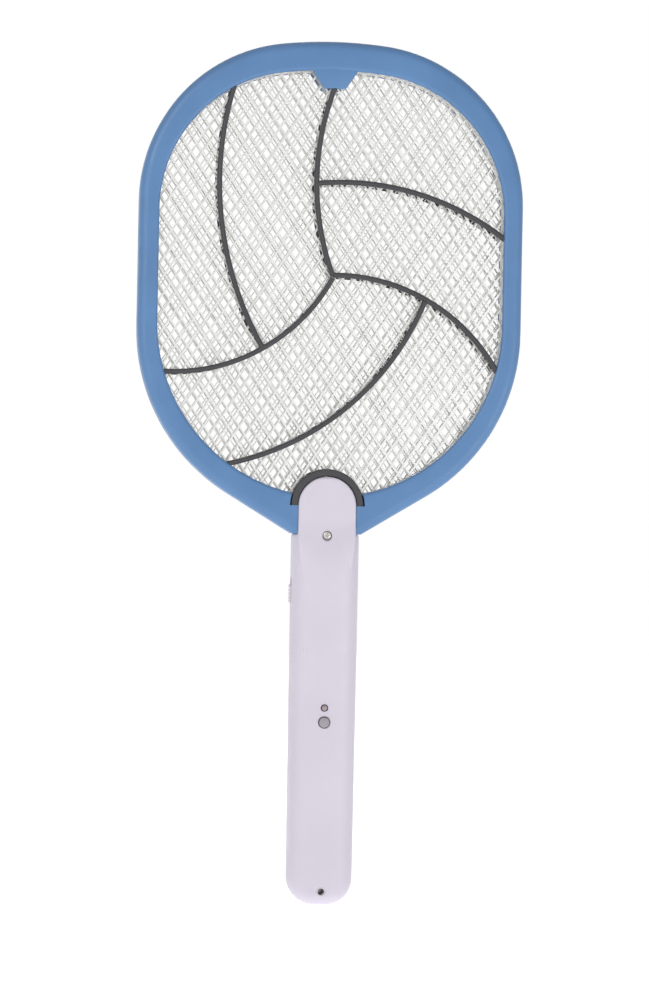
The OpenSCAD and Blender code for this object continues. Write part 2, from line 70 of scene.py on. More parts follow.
# %% [markdown]
# ## Camera, light and floor
# A product photographer lights pale plastic with large soft sources and almost no shadow. The same
# is done here: an even world gives a soft fill, and three broad lamps, two in front and one behind,
# are strong enough to let the sides of the handle fall off and look round. The floor is a light
# table, a white sheet that glows a little, so it stays as pale as the background. The camera sees
# the head nearly square on, from a little to the left, through a long lens, so that the outline
# isn't distorted.

# %% Camera
VIEW_TURN = -6.0
VIEW_ROLL = 1.1
VIEW_DISTANCE = 1.9
PICTURE_HEIGHT = 523.0
LOOK_AT = Vector((-0.6, 0.0, butt_z + 211.0)) * MM


def place_camera():
    """A long lens, level with the middle of the swatter, leaned by a degree as a held racket is."""
    lens = bpy.data.cameras.new("portrait_lens")
    lens.sensor_width = 36.0
    lens.lens = lens.sensor_width * VIEW_DISTANCE / (PICTURE_HEIGHT * MM)
    camera = bpy.data.objects.new("camera", lens)
    bpy.context.scene.collection.objects.link(camera)
    turn = math.radians(VIEW_TURN)
    away = Vector((math.sin(turn), -math.cos(turn), 0.0))
    look = (-away).to_track_quat("-Z", "Y").to_matrix().to_4x4()
    roll = Matrix.Rotation(math.radians(VIEW_ROLL), 4, "Z")
    camera.matrix_world = Matrix.Translation(LOOK_AT + away * VIEW_DISTANCE) @ look @ roll
    bpy.context.scene.camera = camera
    return lens.lens


print("lens in mm:", round(place_camera(), 1))

# %% World, lamps and floor
WORLD_FILL = 0.36
KEY_WATTS = 3.6
LOW_WATTS = 1.5
BACK_WATTS = 5.0
WHITE = (1.0, 1.0, 1.0, 1.0)
FLOOR_TONE = (0.75, 0.75, 0.75, 1.0)
FLOOR_GLOW = 0.9
FLOOR_HALF = 3.0


def light_the_studio():
    """An even world: its fill light is held back, and reflections and the camera see plain white."""
    world = bpy.data.worlds.new("studio")
    bpy.context.scene.world = world
    world.use_nodes = True
    tree = world.node_tree
    tree.nodes.clear()
    fill = tree.nodes.new("ShaderNodeBackground")
    fill.inputs["Strength"].default_value = WORLD_FILL
    seen = tree.nodes.new("ShaderNodeBackground")
    seen.inputs["Strength"].default_value = 1.0
    for shade in (fill, seen):
        shade.inputs["Color"].default_value = WHITE
    path = tree.nodes.new("ShaderNodeLightPath")
    mix = tree.nodes.new("ShaderNodeMixShader")
    out = tree.nodes.new("ShaderNodeOutputWorld")
    tree.links.new(path.outputs["Is Diffuse Ray"], mix.inputs[0])
    tree.links.new(seen.outputs[0], mix.inputs[1])
    tree.links.new(fill.outputs[0], mix.inputs[2])
    tree.links.new(mix.outputs[0], out.inputs["Surface"])


def soft_lamp(name, place, aim, size, watts):
    lamp = bpy.data.lights.new(name, "AREA")
    lamp.shape = "SQUARE"
    lamp.size = size
    lamp.energy = watts
    holder = bpy.data.objects.new(name, lamp)
    bpy.context.scene.collection.objects.link(holder)
    place = Vector(place)
    direction = Vector(aim) - place
    turn = direction.to_track_quat("-Z", "Y").to_matrix().to_4x4()
    holder.matrix_world = Matrix.Translation(place) @ turn


def lay_floor():
    """A pale matt sheet just under the butt end, which glows as a light table does."""
    corners = [(x * FLOOR_HALF, y * FLOOR_HALF, cad_box[0][2])
               for x, y in ((-1, -1), (1, -1), (1, 1), (-1, 1))]
    mesh = bpy.data.meshes.new("floor")
    mesh.from_pydata(corners, [], [(0, 1, 2, 3)])
    floor = bpy.data.objects.new("floor", mesh)
    bpy.context.scene.collection.objects.link(floor)
    paint = bpy.data.materials.new("pale_floor")
    paint.use_nodes = True
    shader = paint.node_tree.nodes["Principled BSDF"]
    settings = {"Base Color": FLOOR_TONE, "Roughness": 0.9, "Specular IOR Level": 0.0,
                "Emission Color": WHITE, "Emission Strength": FLOOR_GLOW}
    for key, value in settings.items():
        shader.inputs[key].default_value = value
    mesh.materials.append(paint)


light_the_studio()
soft_lamp("key_lamp", (-0.6, -0.85, 0.6), (-0.03, 0, 0.22), 0.6, KEY_WATTS)
soft_lamp("low_lamp", (0.5, -0.7, 0.05), (0, 0, 0.03), 0.4, LOW_WATTS)
soft_lamp("back_lamp", (0.35, 1.15, 0.6), (0, 0, 0.2), 0.8, BACK_WATTS)
lay_floor()
bpy.context.scene.view_settings.view_transform = "Standard"
print("studio ready")

# %% [markdown]
# ## Building meshes
# Most pieces here are made in one of three ways: a section carried round a closed outline, rings
# skinned along the handle, or a profile turned about an axis. A few helpers do this once. Holes
# are then cut with exact booleans, as a mould maker would cut pockets into a finished form.


# %% Mesh helpers
SHARP_ANGLE = math.radians(34)


def make_piece(name, points, faces, material=None):
    """A mesh object from points in millimetres, with its faces turned outwards."""
    mesh = bpy.data.meshes.new(name)
    mesh.from_pydata([Vector(p) * MM for p in points], [], faces)
    piece = bpy.data.objects.new(name, mesh)
    bpy.context.scene.collection.objects.link(piece)
    tidy_mesh(piece)
    if material:
        mesh.materials.append(material)
    return piece


def tidy_mesh(piece, weld=0.00001):
    """Welds doubled points, turns the faces outwards and keeps only real corners sharp."""
    work = bmesh.new()
    work.from_mesh(piece.data)
    bmesh.ops.remove_doubles(work, verts=work.verts, dist=weld)
    bmesh.ops.dissolve_degenerate(work, dist=weld / 2, edges=work.edges)
    bmesh.ops.recalc_face_normals(work, faces=work.faces)
    for face in work.faces:
        face.smooth = True
    for edge in work.edges:
        edge.smooth = not (len(edge.link_faces) == 2 and edge.calc_face_angle(0.0) > SHARP_ANGLE)
    work.to_mesh(piece.data)
    work.free()


def face_strip(near, far, around):
    """Faces between two closed loops, each given by the number of its first point."""
    faces = []
    for i in range(around):
        nxt = (i + 1) % around
        faces.append((near + i, near + nxt, far + nxt, far + i))
    return faces


def swept_loops(loops):
    """Points and faces of a closed section carried round: each loop is one corner of the section."""
    around = len(loops[0])
    points = [p for loop in loops for p in loop]
    faces = []
    for j in range(len(loops)):
        faces += face_strip(j * around, (j + 1) % len(loops) * around, around)
    return points, faces


def skinned_rings(rings):
    """Points and faces of a solid skinned over a row of closed rings, with flat ends."""
    around = len(rings[0])
    points = [p for ring in rings for p in ring]
    faces = [tuple(range(around)), tuple(range((len(rings) - 1) * around, len(rings) * around))]
    for j in range(len(rings) - 1):
        faces += face_strip(j * around, (j + 1) * around, around)
    return points, faces


def turned(profile, centre, along="Y", sides=48):
    """Rings of a profile of (radius, distance) turned about an axis through centre."""
    rings = []
    for radius, distance in profile:
        ring = []
        for k in range(sides):
            a = 2 * math.pi * k / sides
            u, v = radius * math.cos(a), radius * math.sin(a)
            offset = {"X": (distance, u, v), "Y": (u, distance, v), "Z": (u, v, distance)}[along]
            ring.append(tuple(c + o for c, o in zip(centre, offset)))
        rings.append(ring)
    return rings


def turned_solid(profile, x, z, sides=48):
    """A solid turned about a line along Y, whose height is counted from the butt end."""
    return skinned_rings(turned(profile, (x, 0, z + butt_z), sides=sides))


def box_solid(low, high):
    """A box between two corners, with heights counted from the butt end."""
    (x0, y0, z0), (x1, y1, z1) = low, high
    corners = [(x0, y0), (x1, y0), (x1, y1), (x0, y1)]
    return skinned_rings([[(x, y, z + butt_z) for x, y in corners] for z in (z0, z1)])


def apply_modifiers(piece):
    """Keeps the shape that the modifiers make and removes them."""
    bpy.context.view_layer.update()
    seen = piece.evaluated_get(bpy.context.evaluated_depsgraph_get())
    made = bpy.data.meshes.new_from_object(seen)
    piece.modifiers.clear()
    piece.data = made


def combine(piece, operation, *shapes):
    """Cuts, joins or intersects a piece with shapes given as (points, faces)."""
    for points, faces in shapes:
        tool = make_piece("tool", points, faces)
        step = piece.modifiers.new("combine", "BOOLEAN")
        step.operation = operation
        step.solver = "EXACT"
        step.object = tool
        apply_modifiers(piece)
        bpy.data.objects.remove(tool)
    tidy_mesh(piece)


def soften(piece, width, segments=3, angle=40):
    """Rounds the corners of a piece, as every moulded edge is."""
    step = piece.modifiers.new("soften", "BEVEL")
    step.width = width * MM
    step.segments = segments
    step.limit_method = "ANGLE"
    step.angle_limit = math.radians(angle)
    apply_modifiers(piece)
    tidy_mesh(piece)
    return piece


def hand_over(piece, body, slot, *stands_for):
    """Puts a piece under its body and hides the CAD nodes it stands for; slot, the finish's name, is
    not used.
    """
    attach(piece, body)
    if stands_for:
        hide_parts(*stands_for)
    print(piece.name, len(piece.data.polygons), "faces")


# %% [markdown]
# ## Outlines of the head
# The head is drawn with tangent arcs, as its mould was: a shallow arc along the top, two corner
# arcs, straight sides, and a half circle below. The outer edge leaves that half circle along two
# straight lines that run to the handle. Because every arc keeps its centre, the same function
# gives any outline inside or outside of it just by changing the radii.

# %% Outlines
HEAD_HALF = cad_box[1][0] / MM
HEAD_TOP = cad_box[1][2] / MM - butt_z
HEAD_DEPTH = -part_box("front_frame")[0].y / MM
CORNER_X = 17.2
TOP_R = 226.0
LOW_Z = 299.7
BAND_SIDE = 10.2
BAND_TOP = 15.2
OPENING_HALF = HEAD_HALF - BAND_SIDE
OPENING_TOP = HEAD_TOP - BAND_TOP
OPENING_TOP_R = 209.0
OPENING_LOW_Z = 302.9
NECK_SLOPE = 31.2
NECK_Z = 193.3
TONGUE_R = 15.1
TONGUE_Z = 208.0
POCKET_R = 15.3
ARCH_R = 19.4


def arc(cx, cz, r, start, end, steps, skip=0):
    angles = [math.radians(start + (end - start) * i / steps) for i in range(skip, steps + 1)]
    return [(cx + r * math.cos(a), cz + r * math.sin(a)) for a in angles]


def head_side(half, top, top_r, low, turn, grow):
    """Right-hand side of a head outline, from the middle of the top downwards."""
    corner_r = half - CORNER_X
    top_c = top - top_r
    corner_z = top_c + math.sqrt((top_r - corner_r) ** 2 - CORNER_X**2)
    meet = math.degrees(math.atan2(corner_z - top_c, CORNER_X))
    straight = [(half + grow, corner_z + (low - corner_z) * i / 8) for i in range(1, 8)]
    return (
        arc(0, top_c, top_r + grow, 90, meet, 6)
        + arc(CORNER_X, corner_z, corner_r + grow, meet, 0, 30, 1)
        + straight
        + arc(0, low, half + grow, 0, -turn, 22)
    )


def outer_loop(grow, lift=0.0):
    """Outer edge of the frame with its neck; lift raises the neck's lower edge."""
    turn = 90 - NECK_SLOPE
    z = NECK_Z + lift
    across = HEAD_HALF + grow - math.sin(math.radians(turn)) * (LOW_Z - z)
    x = across / math.cos(math.radians(turn))
    side = head_side(HEAD_HALF, HEAD_TOP, TOP_R, LOW_Z, turn, grow)
    x0, z0 = side[-1]
    side += [(x0 + (x - x0) * i / 6, z0 + (z - z0) * i / 6) for i in range(1, 7)]
    side += [(x * (1 - i / 4), z) for i in range(1, 5)]
    return both_sides(side)


def opening_loop(grow):
    turn = 90 - NECK_SLOPE
    side = head_side(OPENING_HALF, OPENING_TOP, OPENING_TOP_R, OPENING_LOW_Z, turn, grow)
    side += arc(0, OPENING_LOW_Z, OPENING_HALF + grow, -turn, -90, 10, 1)
    return both_sides(side)


def both_sides(side):
    return side + [(-x, z) for x, z in side[-2:0:-1]]


def rounded_box(half, low, high, r):
    """A box with round corners, from -half to half across and from low to high."""
    corners = ((half - r, high - r), (r - half, high - r), (r - half, low + r), (half - r, low + r))
    return [p for k, (u, v) in enumerate(corners) for p in arc(u, v, r, 90 * k, 90 * k + 90, 6)]


def at_depth(loop, y):
    """Stands a flat outline up at a depth, with heights counted from the butt end."""
    return [(x, y, z + butt_z) for x, z in loop]


print("outer outline has", len(outer_loop(0)), "points, the opening", len(opening_loop(0)))

# %% [markdown]
# ## Shared surface effects
# Nothing moulded or stamped is one flat colour. Plastic has a fine grain from the tool, its colour
# drifts a little with thickness, hands leave dull patches, and edges get rubbed pale. These four
# effects are built once as node groups, so every finish can mix them in its own strength. Each
# group works in the object's own coordinates, in metres, so nothing has to be unwrapped.


# %% Node group helpers
def start_group(name, inputs, outputs):
    """An empty shader group with its sockets; inputs are (name, kind, value)."""
    tree = bpy.data.node_groups.new(name, "ShaderNodeTree")
    for label, kind, value in inputs:
        socket = tree.interface.new_socket(label, in_out="INPUT", socket_type="NodeSocket" + kind)
        socket.default_value = value
    for label, kind in outputs:
        tree.interface.new_socket(label, in_out="OUTPUT", socket_type="NodeSocket" + kind)
    return tree, tree.nodes.new("NodeGroupInput"), tree.nodes.new("NodeGroupOutput")


def add_node(tree, kind, **sockets):
    """A node with some inputs set: a plain value is stored, a socket is linked."""
    node = tree.nodes.new("ShaderNode" + kind)
    for key, value in sockets.items():
        fill_socket(tree, node.inputs[key.replace("_", " ")], value)
    return node


def fill_socket(tree, socket, value):
    if isinstance(value, bpy.types.NodeSocket):
        tree.links.new(value, socket)
    else:
        socket.default_value = value


def calculate(tree, operation, *values, clamp=False):
    node = tree.nodes.new("ShaderNodeMath")
    node.operation = operation
    node.use_clamp = clamp
    for socket, value in zip(node.inputs, values):
        fill_socket(tree, socket, value)
    return node.outputs[0]


def remap(tree, value, low, high, to_low=0.0, to_high=1.0):
    node = add_node(tree, "MapRange", Value=value)
    node.inputs["From Min"].default_value = low
    node.inputs["From Max"].default_value = high
    node.inputs["To Min"].default_value = to_low
    node.inputs["To Max"].default_value = to_high
    return node.outputs[0]


def mix_colours(tree, share, first, second):
    node = tree.nodes.new("ShaderNodeMix")
    node.data_type = "RGBA"
    fill_socket(tree, node.inputs[0], share)
    fill_socket(tree, node.inputs[6], first)
    fill_socket(tree, node.inputs[7], second)
    return node.outputs[2]


def own_place(tree):
    """Coordinates that belong to the piece itself, in metres."""
    return tree.nodes.new("ShaderNodeTexCoord").outputs["Object"]


def noise(tree, scale, detail=2.0, place=None):
    node = add_node(tree, "TexNoise", Scale=scale, Detail=detail)
    tree.links.new(place or own_place(tree), node.inputs["Vector"])
    return node.outputs["Fac"]


# %% Tool grain and colour drift
def make_tool_grain():
    """Fine random relief that a moulding tool leaves; Size is the width of a grain in metres."""
    inputs = [("Size", "Float", 0.0005)]
    tree, given, result = start_group("tool_grain", inputs, [("Height", "Float")])
    scale = calculate(tree, "DIVIDE", 1.0, given.outputs["Size"])
    fine = noise(tree, scale, 1.0)
    broad = noise(tree, calculate(tree, "MULTIPLY", scale, 0.31), 1.0)
    height = calculate(tree, "ADD", fine, calculate(tree, "MULTIPLY", broad, 0.6))
    tree.links.new(height, result.inputs[0])
    return tree


def make_colour_drift():
    """Slow change of a colour over a part; Amount is the share that it gets darker or lighter."""
    inputs = [("Colour", "Color", (0.5, 0.5, 0.5, 1.0)), ("Amount", "Float", 0.05),
              ("Size", "Float", 0.03)]
    tree, given, result = start_group("colour_drift", inputs, [("Colour", "Color")])
    slow = noise(tree, calculate(tree, "DIVIDE", 1.0, given.outputs["Size"]), 3.0)
    swing = remap(tree, slow, 0.3, 0.7, -1.0, 1.0)
    gain = calculate(tree, "MULTIPLY_ADD", swing, given.outputs["Amount"], 1.0)
    scaled = tree.nodes.new("ShaderNodeVectorMath")
    scaled.operation = "SCALE"
    tree.links.new(given.outputs["Colour"], scaled.inputs[0])
    tree.links.new(gain, scaled.inputs["Scale"])
    tree.links.new(scaled.outputs[0], result.inputs[0])
    return tree


TOOL_GRAIN = make_tool_grain()
COLOUR_DRIFT = make_colour_drift()


# %% Rubbed edges, handling marks and scratches
def make_rubbed_edges():
    """Mask of the outer corners: a corner is where a rounded-off normal leaves the true one."""
    inputs = [("Width", "Float", 0.0005), ("Patch", "Float", 0.004)]
    tree, given, result = start_group("rubbed_edges", inputs, [("Mask", "Float")])
    rounded = add_node(tree, "Bevel", Radius=given.outputs["Width"])
    rounded.samples = 4
    plain = tree.nodes.new("ShaderNodeNewGeometry")
    likeness = tree.nodes.new("ShaderNodeVectorMath")
    likeness.operation = "DOT_PRODUCT"
    tree.links.new(rounded.outputs[0], likeness.inputs[0])
    tree.links.new(plain.outputs["Normal"], likeness.inputs[1])
    corner = remap(tree, likeness.outputs["Value"], 0.995, 0.86)
    patchy = noise(tree, calculate(tree, "DIVIDE", 1.0, given.outputs["Patch"]), 3.0)
    worn = calculate(tree, "MULTIPLY", corner, remap(tree, patchy, 0.4, 0.62))
    tree.links.new(worn, result.inputs[0])
    return tree


def make_handling():
    """Dull patches from hands, and hairline scratches that run mostly along the handle."""
    outputs = [("Smudge", "Float"), ("Scratch", "Float")]
    tree, given, result = start_group("handling", [("Size", "Float", 0.012)], outputs)
    scale = calculate(tree, "DIVIDE", 1.0, given.outputs["Size"])
    tree.links.new(remap(tree, noise(tree, scale, 4.0), 0.42, 0.66), result.inputs["Smudge"])
    stretch = tree.nodes.new("ShaderNodeMapping")
    stretch.inputs["Rotation"].default_value = (0.0, 0.35, 0.0)
    stretch.inputs["Scale"].default_value = (1.0, 1.0, 0.035)
    tree.links.new(own_place(tree), stretch.inputs["Vector"])
    streaks = noise(tree, 2600.0, 2.0, stretch.outputs[0])
    sparse = remap(tree, noise(tree, 90.0, 2.0), 0.5, 0.6)
    hairline = calculate(tree, "MULTIPLY", remap(tree, streaks, 0.7, 0.78), sparse)
    tree.links.new(hairline, result.inputs["Scratch"])
    return tree


RUBBED_EDGES = make_rubbed_edges()
HANDLING = make_handling()
print("effect groups:", [tree.name for tree in bpy.data.node_groups])


# %% [markdown]
# ## Finishes
# A finish is a material built from those effects. The colour drifts and pales at rubbed corners,
# the roughness rises where hands have been, and grain and scratches go to the bump. Numbers that
# are the same all over, such as metallic or coat weight, are set on the shader itself.


# %% Finish builder
def srgb(r, g, b):
    """A colour given in ordinary 0 to 255 values, as linear light."""
    shares = [c / 255 for c in (r, g, b)]
    linear = [v / 12.92 if v <= 0.04045 else ((v + 0.055) / 1.055) ** 2.4 for v in shares]
    return (*linear, 1.0)


def use_group(tree, group, **sockets):
    node = tree.nodes.new("ShaderNodeGroup")
    node.node_tree = group
    for key, value in sockets.items():
        fill_socket(tree, node.inputs[key], value)
    return node


def drifting(tree, colour, amount, size):
    return use_group(tree, COLOUR_DRIFT, Colour=colour, Amount=amount, Size=size).outputs[0]


def start_finish(name, **fixed):
    """A material whose fixed numbers are set on its own shader."""
    made = bpy.data.materials.new(name)
    made.use_nodes = True
    shader = made.node_tree.nodes["Principled BSDF"]
    for key, value in fixed.items():
        shader.inputs[key.replace("_", " ")].default_value = value
    return made, made.node_tree, shader


def relief(tree, shader, height, depth):
    bump = add_node(tree, "Bump", Height=height, Distance=depth, Strength=1.0)
    tree.links.new(bump.outputs[0], shader.inputs["Normal"])


def moulded(name, colour, rubbed, rough=0.42, grain=0.0005, depth=0.00003, drift=0.04, wear=0.5,
            **fixed):
    """Moulded plastic: drifting colour, pale corners, dull patches, grain and hairlines."""
    made, tree, shader = start_finish(name, **fixed)
    tone = drifting(tree, colour, drift, 0.03)
    corner = use_group(tree, RUBBED_EDGES, Width=0.0005, Patch=0.004).outputs[0]
    marks = use_group(tree, HANDLING, Size=0.012)
    for mask, share in ((corner, wear), (marks.outputs["Scratch"], wear * 0.5)):
        tone = mix_colours(tree, calculate(tree, "MULTIPLY", mask, share), tone, rubbed)
    tree.links.new(tone, shader.inputs["Base Color"])
    dull = calculate(tree, "MULTIPLY_ADD", marks.outputs["Smudge"], 0.12, rough)
    dull = calculate(tree, "MULTIPLY_ADD", corner, -0.1, dull, clamp=True)
    tree.links.new(dull, shader.inputs["Roughness"])
    grains = use_group(tree, TOOL_GRAIN, Size=grain).outputs[0]
    height = calculate(tree, "MULTIPLY_ADD", marks.outputs["Scratch"], -0.8, grains)
    relief(tree, shader, height, depth)
    return made


def drawn_metal(name, colour, tarnish, rough, grain=0.0004, depth=0.00002, spots=0.35):
    """Rolled or plated metal: bright, with tarnish in soft spots and a fine rolled grain."""
    made, tree, shader = start_finish(name, Metallic=1.0)
    spot = remap(tree, noise(tree, 140.0, 4.0), 0.45, 0.7)
    share = calculate(tree, "MULTIPLY", spot, spots)
    tone = drifting(tree, colour, 0.05, 0.008)
    tree.links.new(mix_colours(tree, share, tone, tarnish), shader.inputs["Base Color"])
    tree.links.new(calculate(tree, "MULTIPLY_ADD", spot, 0.2, rough), shader.inputs["Roughness"])
    relief(tree, shader, use_group(tree, TOOL_GRAIN, Size=grain).outputs[0], depth)
    return made


# %% [markdown]
# The head is glossy blue polypropylene and the handle a pale lavender one. The ribs are a charcoal
# mix with a coarser grain, which hides scratches. Small parts are a harder plastic: grey for the
# button, a paler grey for the eyelet, and black inside.

# %% Plastic finishes
PLASTICS = {
    "blue_plastic": ((83, 123, 169), (150, 186, 226), dict(rough=0.38, grain=0.0006, drift=0.06)),
    "lavender_plastic": ((203, 197, 210), (240, 238, 244), dict(rough=0.4, drift=0.025)),
    "charcoal_plastic": ((54, 54, 58), (100, 100, 106), dict(rough=0.5, grain=0.0008, depth=0.00006)),
    "black_plastic": ((26, 26, 29), (70, 70, 74), dict(rough=0.32, wear=0.35)),
    "grey_plastic": ((150, 146, 153), (184, 181, 186), dict(rough=0.36, wear=0.35)),
    "eyelet_plastic": ((196, 191, 199), (212, 208, 214), dict(rough=0.4, wear=0.35)),
    "spacer_plastic": ((226, 224, 220), (242, 242, 240), dict(rough=0.5, wear=0.2)),
    "tray_plastic": ((222, 220, 228), (240, 240, 244), dict(rough=0.5, wear=0.3)),
    "red_insulation": ((172, 34, 28), (206, 92, 84), dict(rough=0.36, wear=0.2)),
    "black_insulation": ((30, 30, 33), (74, 74, 78), dict(rough=0.36, wear=0.2)),
    "ferrite": ((52, 50, 50), (108, 106, 104), dict(rough=0.55, grain=0.0003, depth=0.00008)),
    "resistor_body": ((196, 164, 122), (214, 190, 154), dict(rough=0.34, wear=0.1)),
    "capacitor_body": ((124, 58, 34), (150, 92, 66), dict(rough=0.22, wear=0.2, Coat_Weight=0.5)),
}
finishes = {name: moulded(name, srgb(*colour), srgb(*rubbed), **more)
            for name, (colour, rubbed, more) in PLASTICS.items()}

# %% [markdown]
# The nets are bright tinned steel, the screws are plated and a little darker, and the springs and
# contacts are nickel. A short list of colours is enough, since the builder gives each its spots.

# %% Metal finishes
METALS = {
    "net_metal": ((206, 206, 204), (184, 181, 174), 0.42),
    "screw_metal": ((192, 189, 184), (150, 145, 137), 0.28),
    "spring_steel": ((206, 202, 194), (160, 152, 138), 0.22),
}
for name, (colour, tarnish, rough) in METALS.items():
    finishes[name] = drawn_metal(name, srgb(*colour), srgb(*tarnish), rough)


# %% [markdown]
# Four finishes need something of their own. The circuit board is green lacquer over copper tracks,
# so a grid of raised lines shows through. The winding tape has overlapping turns. A cell's film has
# a broad silver band at one end and a thin glossy coat. The indicator's lens is a smoky resin with
# a little pink in it, and only partly clear while it is unlit.


# %% Board, tape, film and lens
def lacquered_board():
    made, tree, shader = start_finish("board_green", Coat_Weight=0.4, Coat_Roughness=0.12)
    bricks = tree.nodes.new("ShaderNodeTexBrick")
    upright = add_node(tree, "Mapping", Vector=own_place(tree), Rotation=(math.pi / 2, 0.0, 0.0))
    tree.links.new(upright.outputs[0], bricks.inputs["Vector"])
    tracks = {"Scale": 260.0, "Mortar Size": 0.09, "Mortar Smooth": 0.1, "Brick Width": 0.9}
    for key, value in tracks.items():
        bricks.inputs[key].default_value = value
    track = bricks.outputs["Fac"]
    tone = mix_colours(tree, track, srgb(30, 92, 48), srgb(66, 132, 74))
    tree.links.new(tone, shader.inputs["Base Color"])
    tree.links.new(remap(tree, noise(tree, 300.0), 0.3, 0.7, 0.28, 0.4), shader.inputs["Roughness"])
    relief(tree, shader, track, 0.00004)
    return made


def wound_tape():
    made, tree, shader = start_finish("winding_tape", Coat_Weight=0.3)
    turns = add_node(tree, "TexWave", Vector=own_place(tree), Scale=160.0, Distortion=0.6,
                     Detail=1.0)
    turns.bands_direction = "Y"
    turns.wave_profile = "SAW"
    tone = mix_colours(tree, turns.outputs["Fac"], srgb(176, 122, 34), srgb(212, 166, 74))
    tree.links.new(tone, shader.inputs["Base Color"])
    tree.links.new(remap(tree, turns.outputs["Fac"], 0, 1, 0.3, 0.42), shader.inputs["Roughness"])
    relief(tree, shader, turns.outputs["Fac"], 0.00006)
    return made


def cell_film():
    made, tree, shader = start_finish("cell_wrap", Coat_Weight=0.7, Coat_Roughness=0.08)
    axes = add_node(tree, "SeparateXYZ", Vector=own_place(tree))
    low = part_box("lower_cell")[0].z
    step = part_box("upper_cell")[0].z - low
    along = calculate(tree, "DIVIDE", calculate(tree, "SUBTRACT", axes.outputs["Z"], low), step)
    band = calculate(tree, "GREATER_THAN", calculate(tree, "FRACT", along), 0.7)
    green = drifting(tree, srgb(40, 112, 70), 0.08, 0.01)
    silver = drifting(tree, srgb(196, 198, 200), 0.05, 0.01)
    tree.links.new(mix_colours(tree, band, green, silver), shader.inputs["Base Color"])
    tree.links.new(remap(tree, band, 0, 1, 0.36, 0.24), shader.inputs["Roughness"])
    relief(tree, shader, noise(tree, 420.0, 3.0), 0.00005)
    return made


def tinted_lens():
    made, tree, shader = start_finish("lens", Coat_Weight=1.0, Coat_Roughness=0.04,
                                      Transmission_Weight=0.25)
    tone = drifting(tree, srgb(168, 148, 155), 0.12, 0.002)
    tree.links.new(tone, shader.inputs["Base Color"])
    tree.links.new(remap(tree, noise(tree, 900.0), 0.3, 0.7, 0.1, 0.2), shader.inputs["Roughness"])
    return made


finishes["board_green"] = lacquered_board()
finishes["winding_tape"] = wound_tape()
finishes["cell_wrap"] = cell_film()
finishes["lens"] = tinted_lens()
print(len(finishes), "finishes")

# %% [markdown]
# ## The half-frames
# Each half of the head's frame is one moulding: a channel about ten millimetres deep with a round
# outer shoulder, a small round inner lip and hollow back. It could be made by bevelling a curve,
# but the inner and outer edges follow different outlines. So the section is written as places on
# either outline, and each place is carried all the way round.

# %% Section of the frame
NET_Y = 5.6
RIM_Y = 6.6
WALL = 2.0
PARTING = 0.3


def round_corner(edge, grow, width, y, height, steps, backwards=False):
    """Quarter of an ellipse in the section, from the side wall over to the flat front."""
    places = []
    for i in range(steps + 1):
        t = math.radians(90 * i / steps)
        places.append((edge, grow + width * (math.cos(t) - 1), 0, y - height * math.sin(t)))
    return places[::-1] if backwards else places


frame_section = (
    [("outer", -WALL, WALL, 0), ("outer", -PARTING, 0, 0), ("outer", 0, 0, -PARTING)]
    + round_corner("outer", 0, 4.6, -HEAD_DEPTH + 4.4, 4.4, 9)
    + [("outer", -5.2, 0, -HEAD_DEPTH)]
    + round_corner("inner", 0, -2.2, -HEAD_DEPTH + 1.5, 1.5, 5, backwards=True)
    + [("inner", 0, 0, -RIM_Y), ("inner", 1.6, 0, -RIM_Y), ("inner", 1.6, 0, -7.7)]
    + [("outer", -WALL - 1, WALL, -7.7), ("outer", -WALL, WALL, -6.6)]
)


def band_loop(edge, grow, lift, y):
    return at_depth(outer_loop(grow, lift) if edge == "outer" else opening_loop(grow), y)


def prism(outline, front, back):
    """A flat outline given thickness from front to back."""
    return skinned_rings([at_depth(outline, front), at_depth(outline, back)])


def arch_outline(r):
    return arc(0, TONGUE_Z, r, 0, 180, 40)


def tongue_outline(r):
    return arch_outline(r) + [(-r, NECK_Z - 8), (r, NECK_Z - 8)]


# %% [markdown]
# A contact box hangs from the middle of the top, where the springs that feed the nets sit. It is a
# small softened prism, joined on. At the neck a pocket is cut for the handle's tongue and the dark
# arch, and a stub runs down inside the handle. The back half is the mirror image of the front.

# %% Front and back frame
BOX_HALF = 11.5
BOX_LOW = OPENING_TOP - 9.5


def contact_box_outline(grow):
    x = BOX_HALF + grow
    low = BOX_LOW - grow
    return [(-x, OPENING_TOP + 1), (-x, OPENING_TOP - 1), (-x / 2, low), (x / 2, low),
            (x, OPENING_TOP - 1), (x, OPENING_TOP + 1)]


def mesh_shape(piece):
    """The points and faces of a piece, in millimetres, with the piece itself used up."""
    points = [tuple(v.co / MM) for v in piece.data.vertices]
    faces = [tuple(face.vertices) for face in piece.data.polygons]
    bpy.data.objects.remove(piece)
    return points, faces


def mirrored(piece, name):
    """A copy of a front piece, turned into the back one."""
    twin = bpy.data.objects.new(name, piece.data.copy())
    bpy.context.scene.collection.objects.link(twin)
    for vertex in twin.data.vertices:
        vertex.co.y = -vertex.co.y
    tidy_mesh(twin)
    return twin


SCREW_HOLE_R = 2.1
screw_spots = [(34, 442.3), (-34, 442.3), (48, 216.5), (-48, 216.5)]

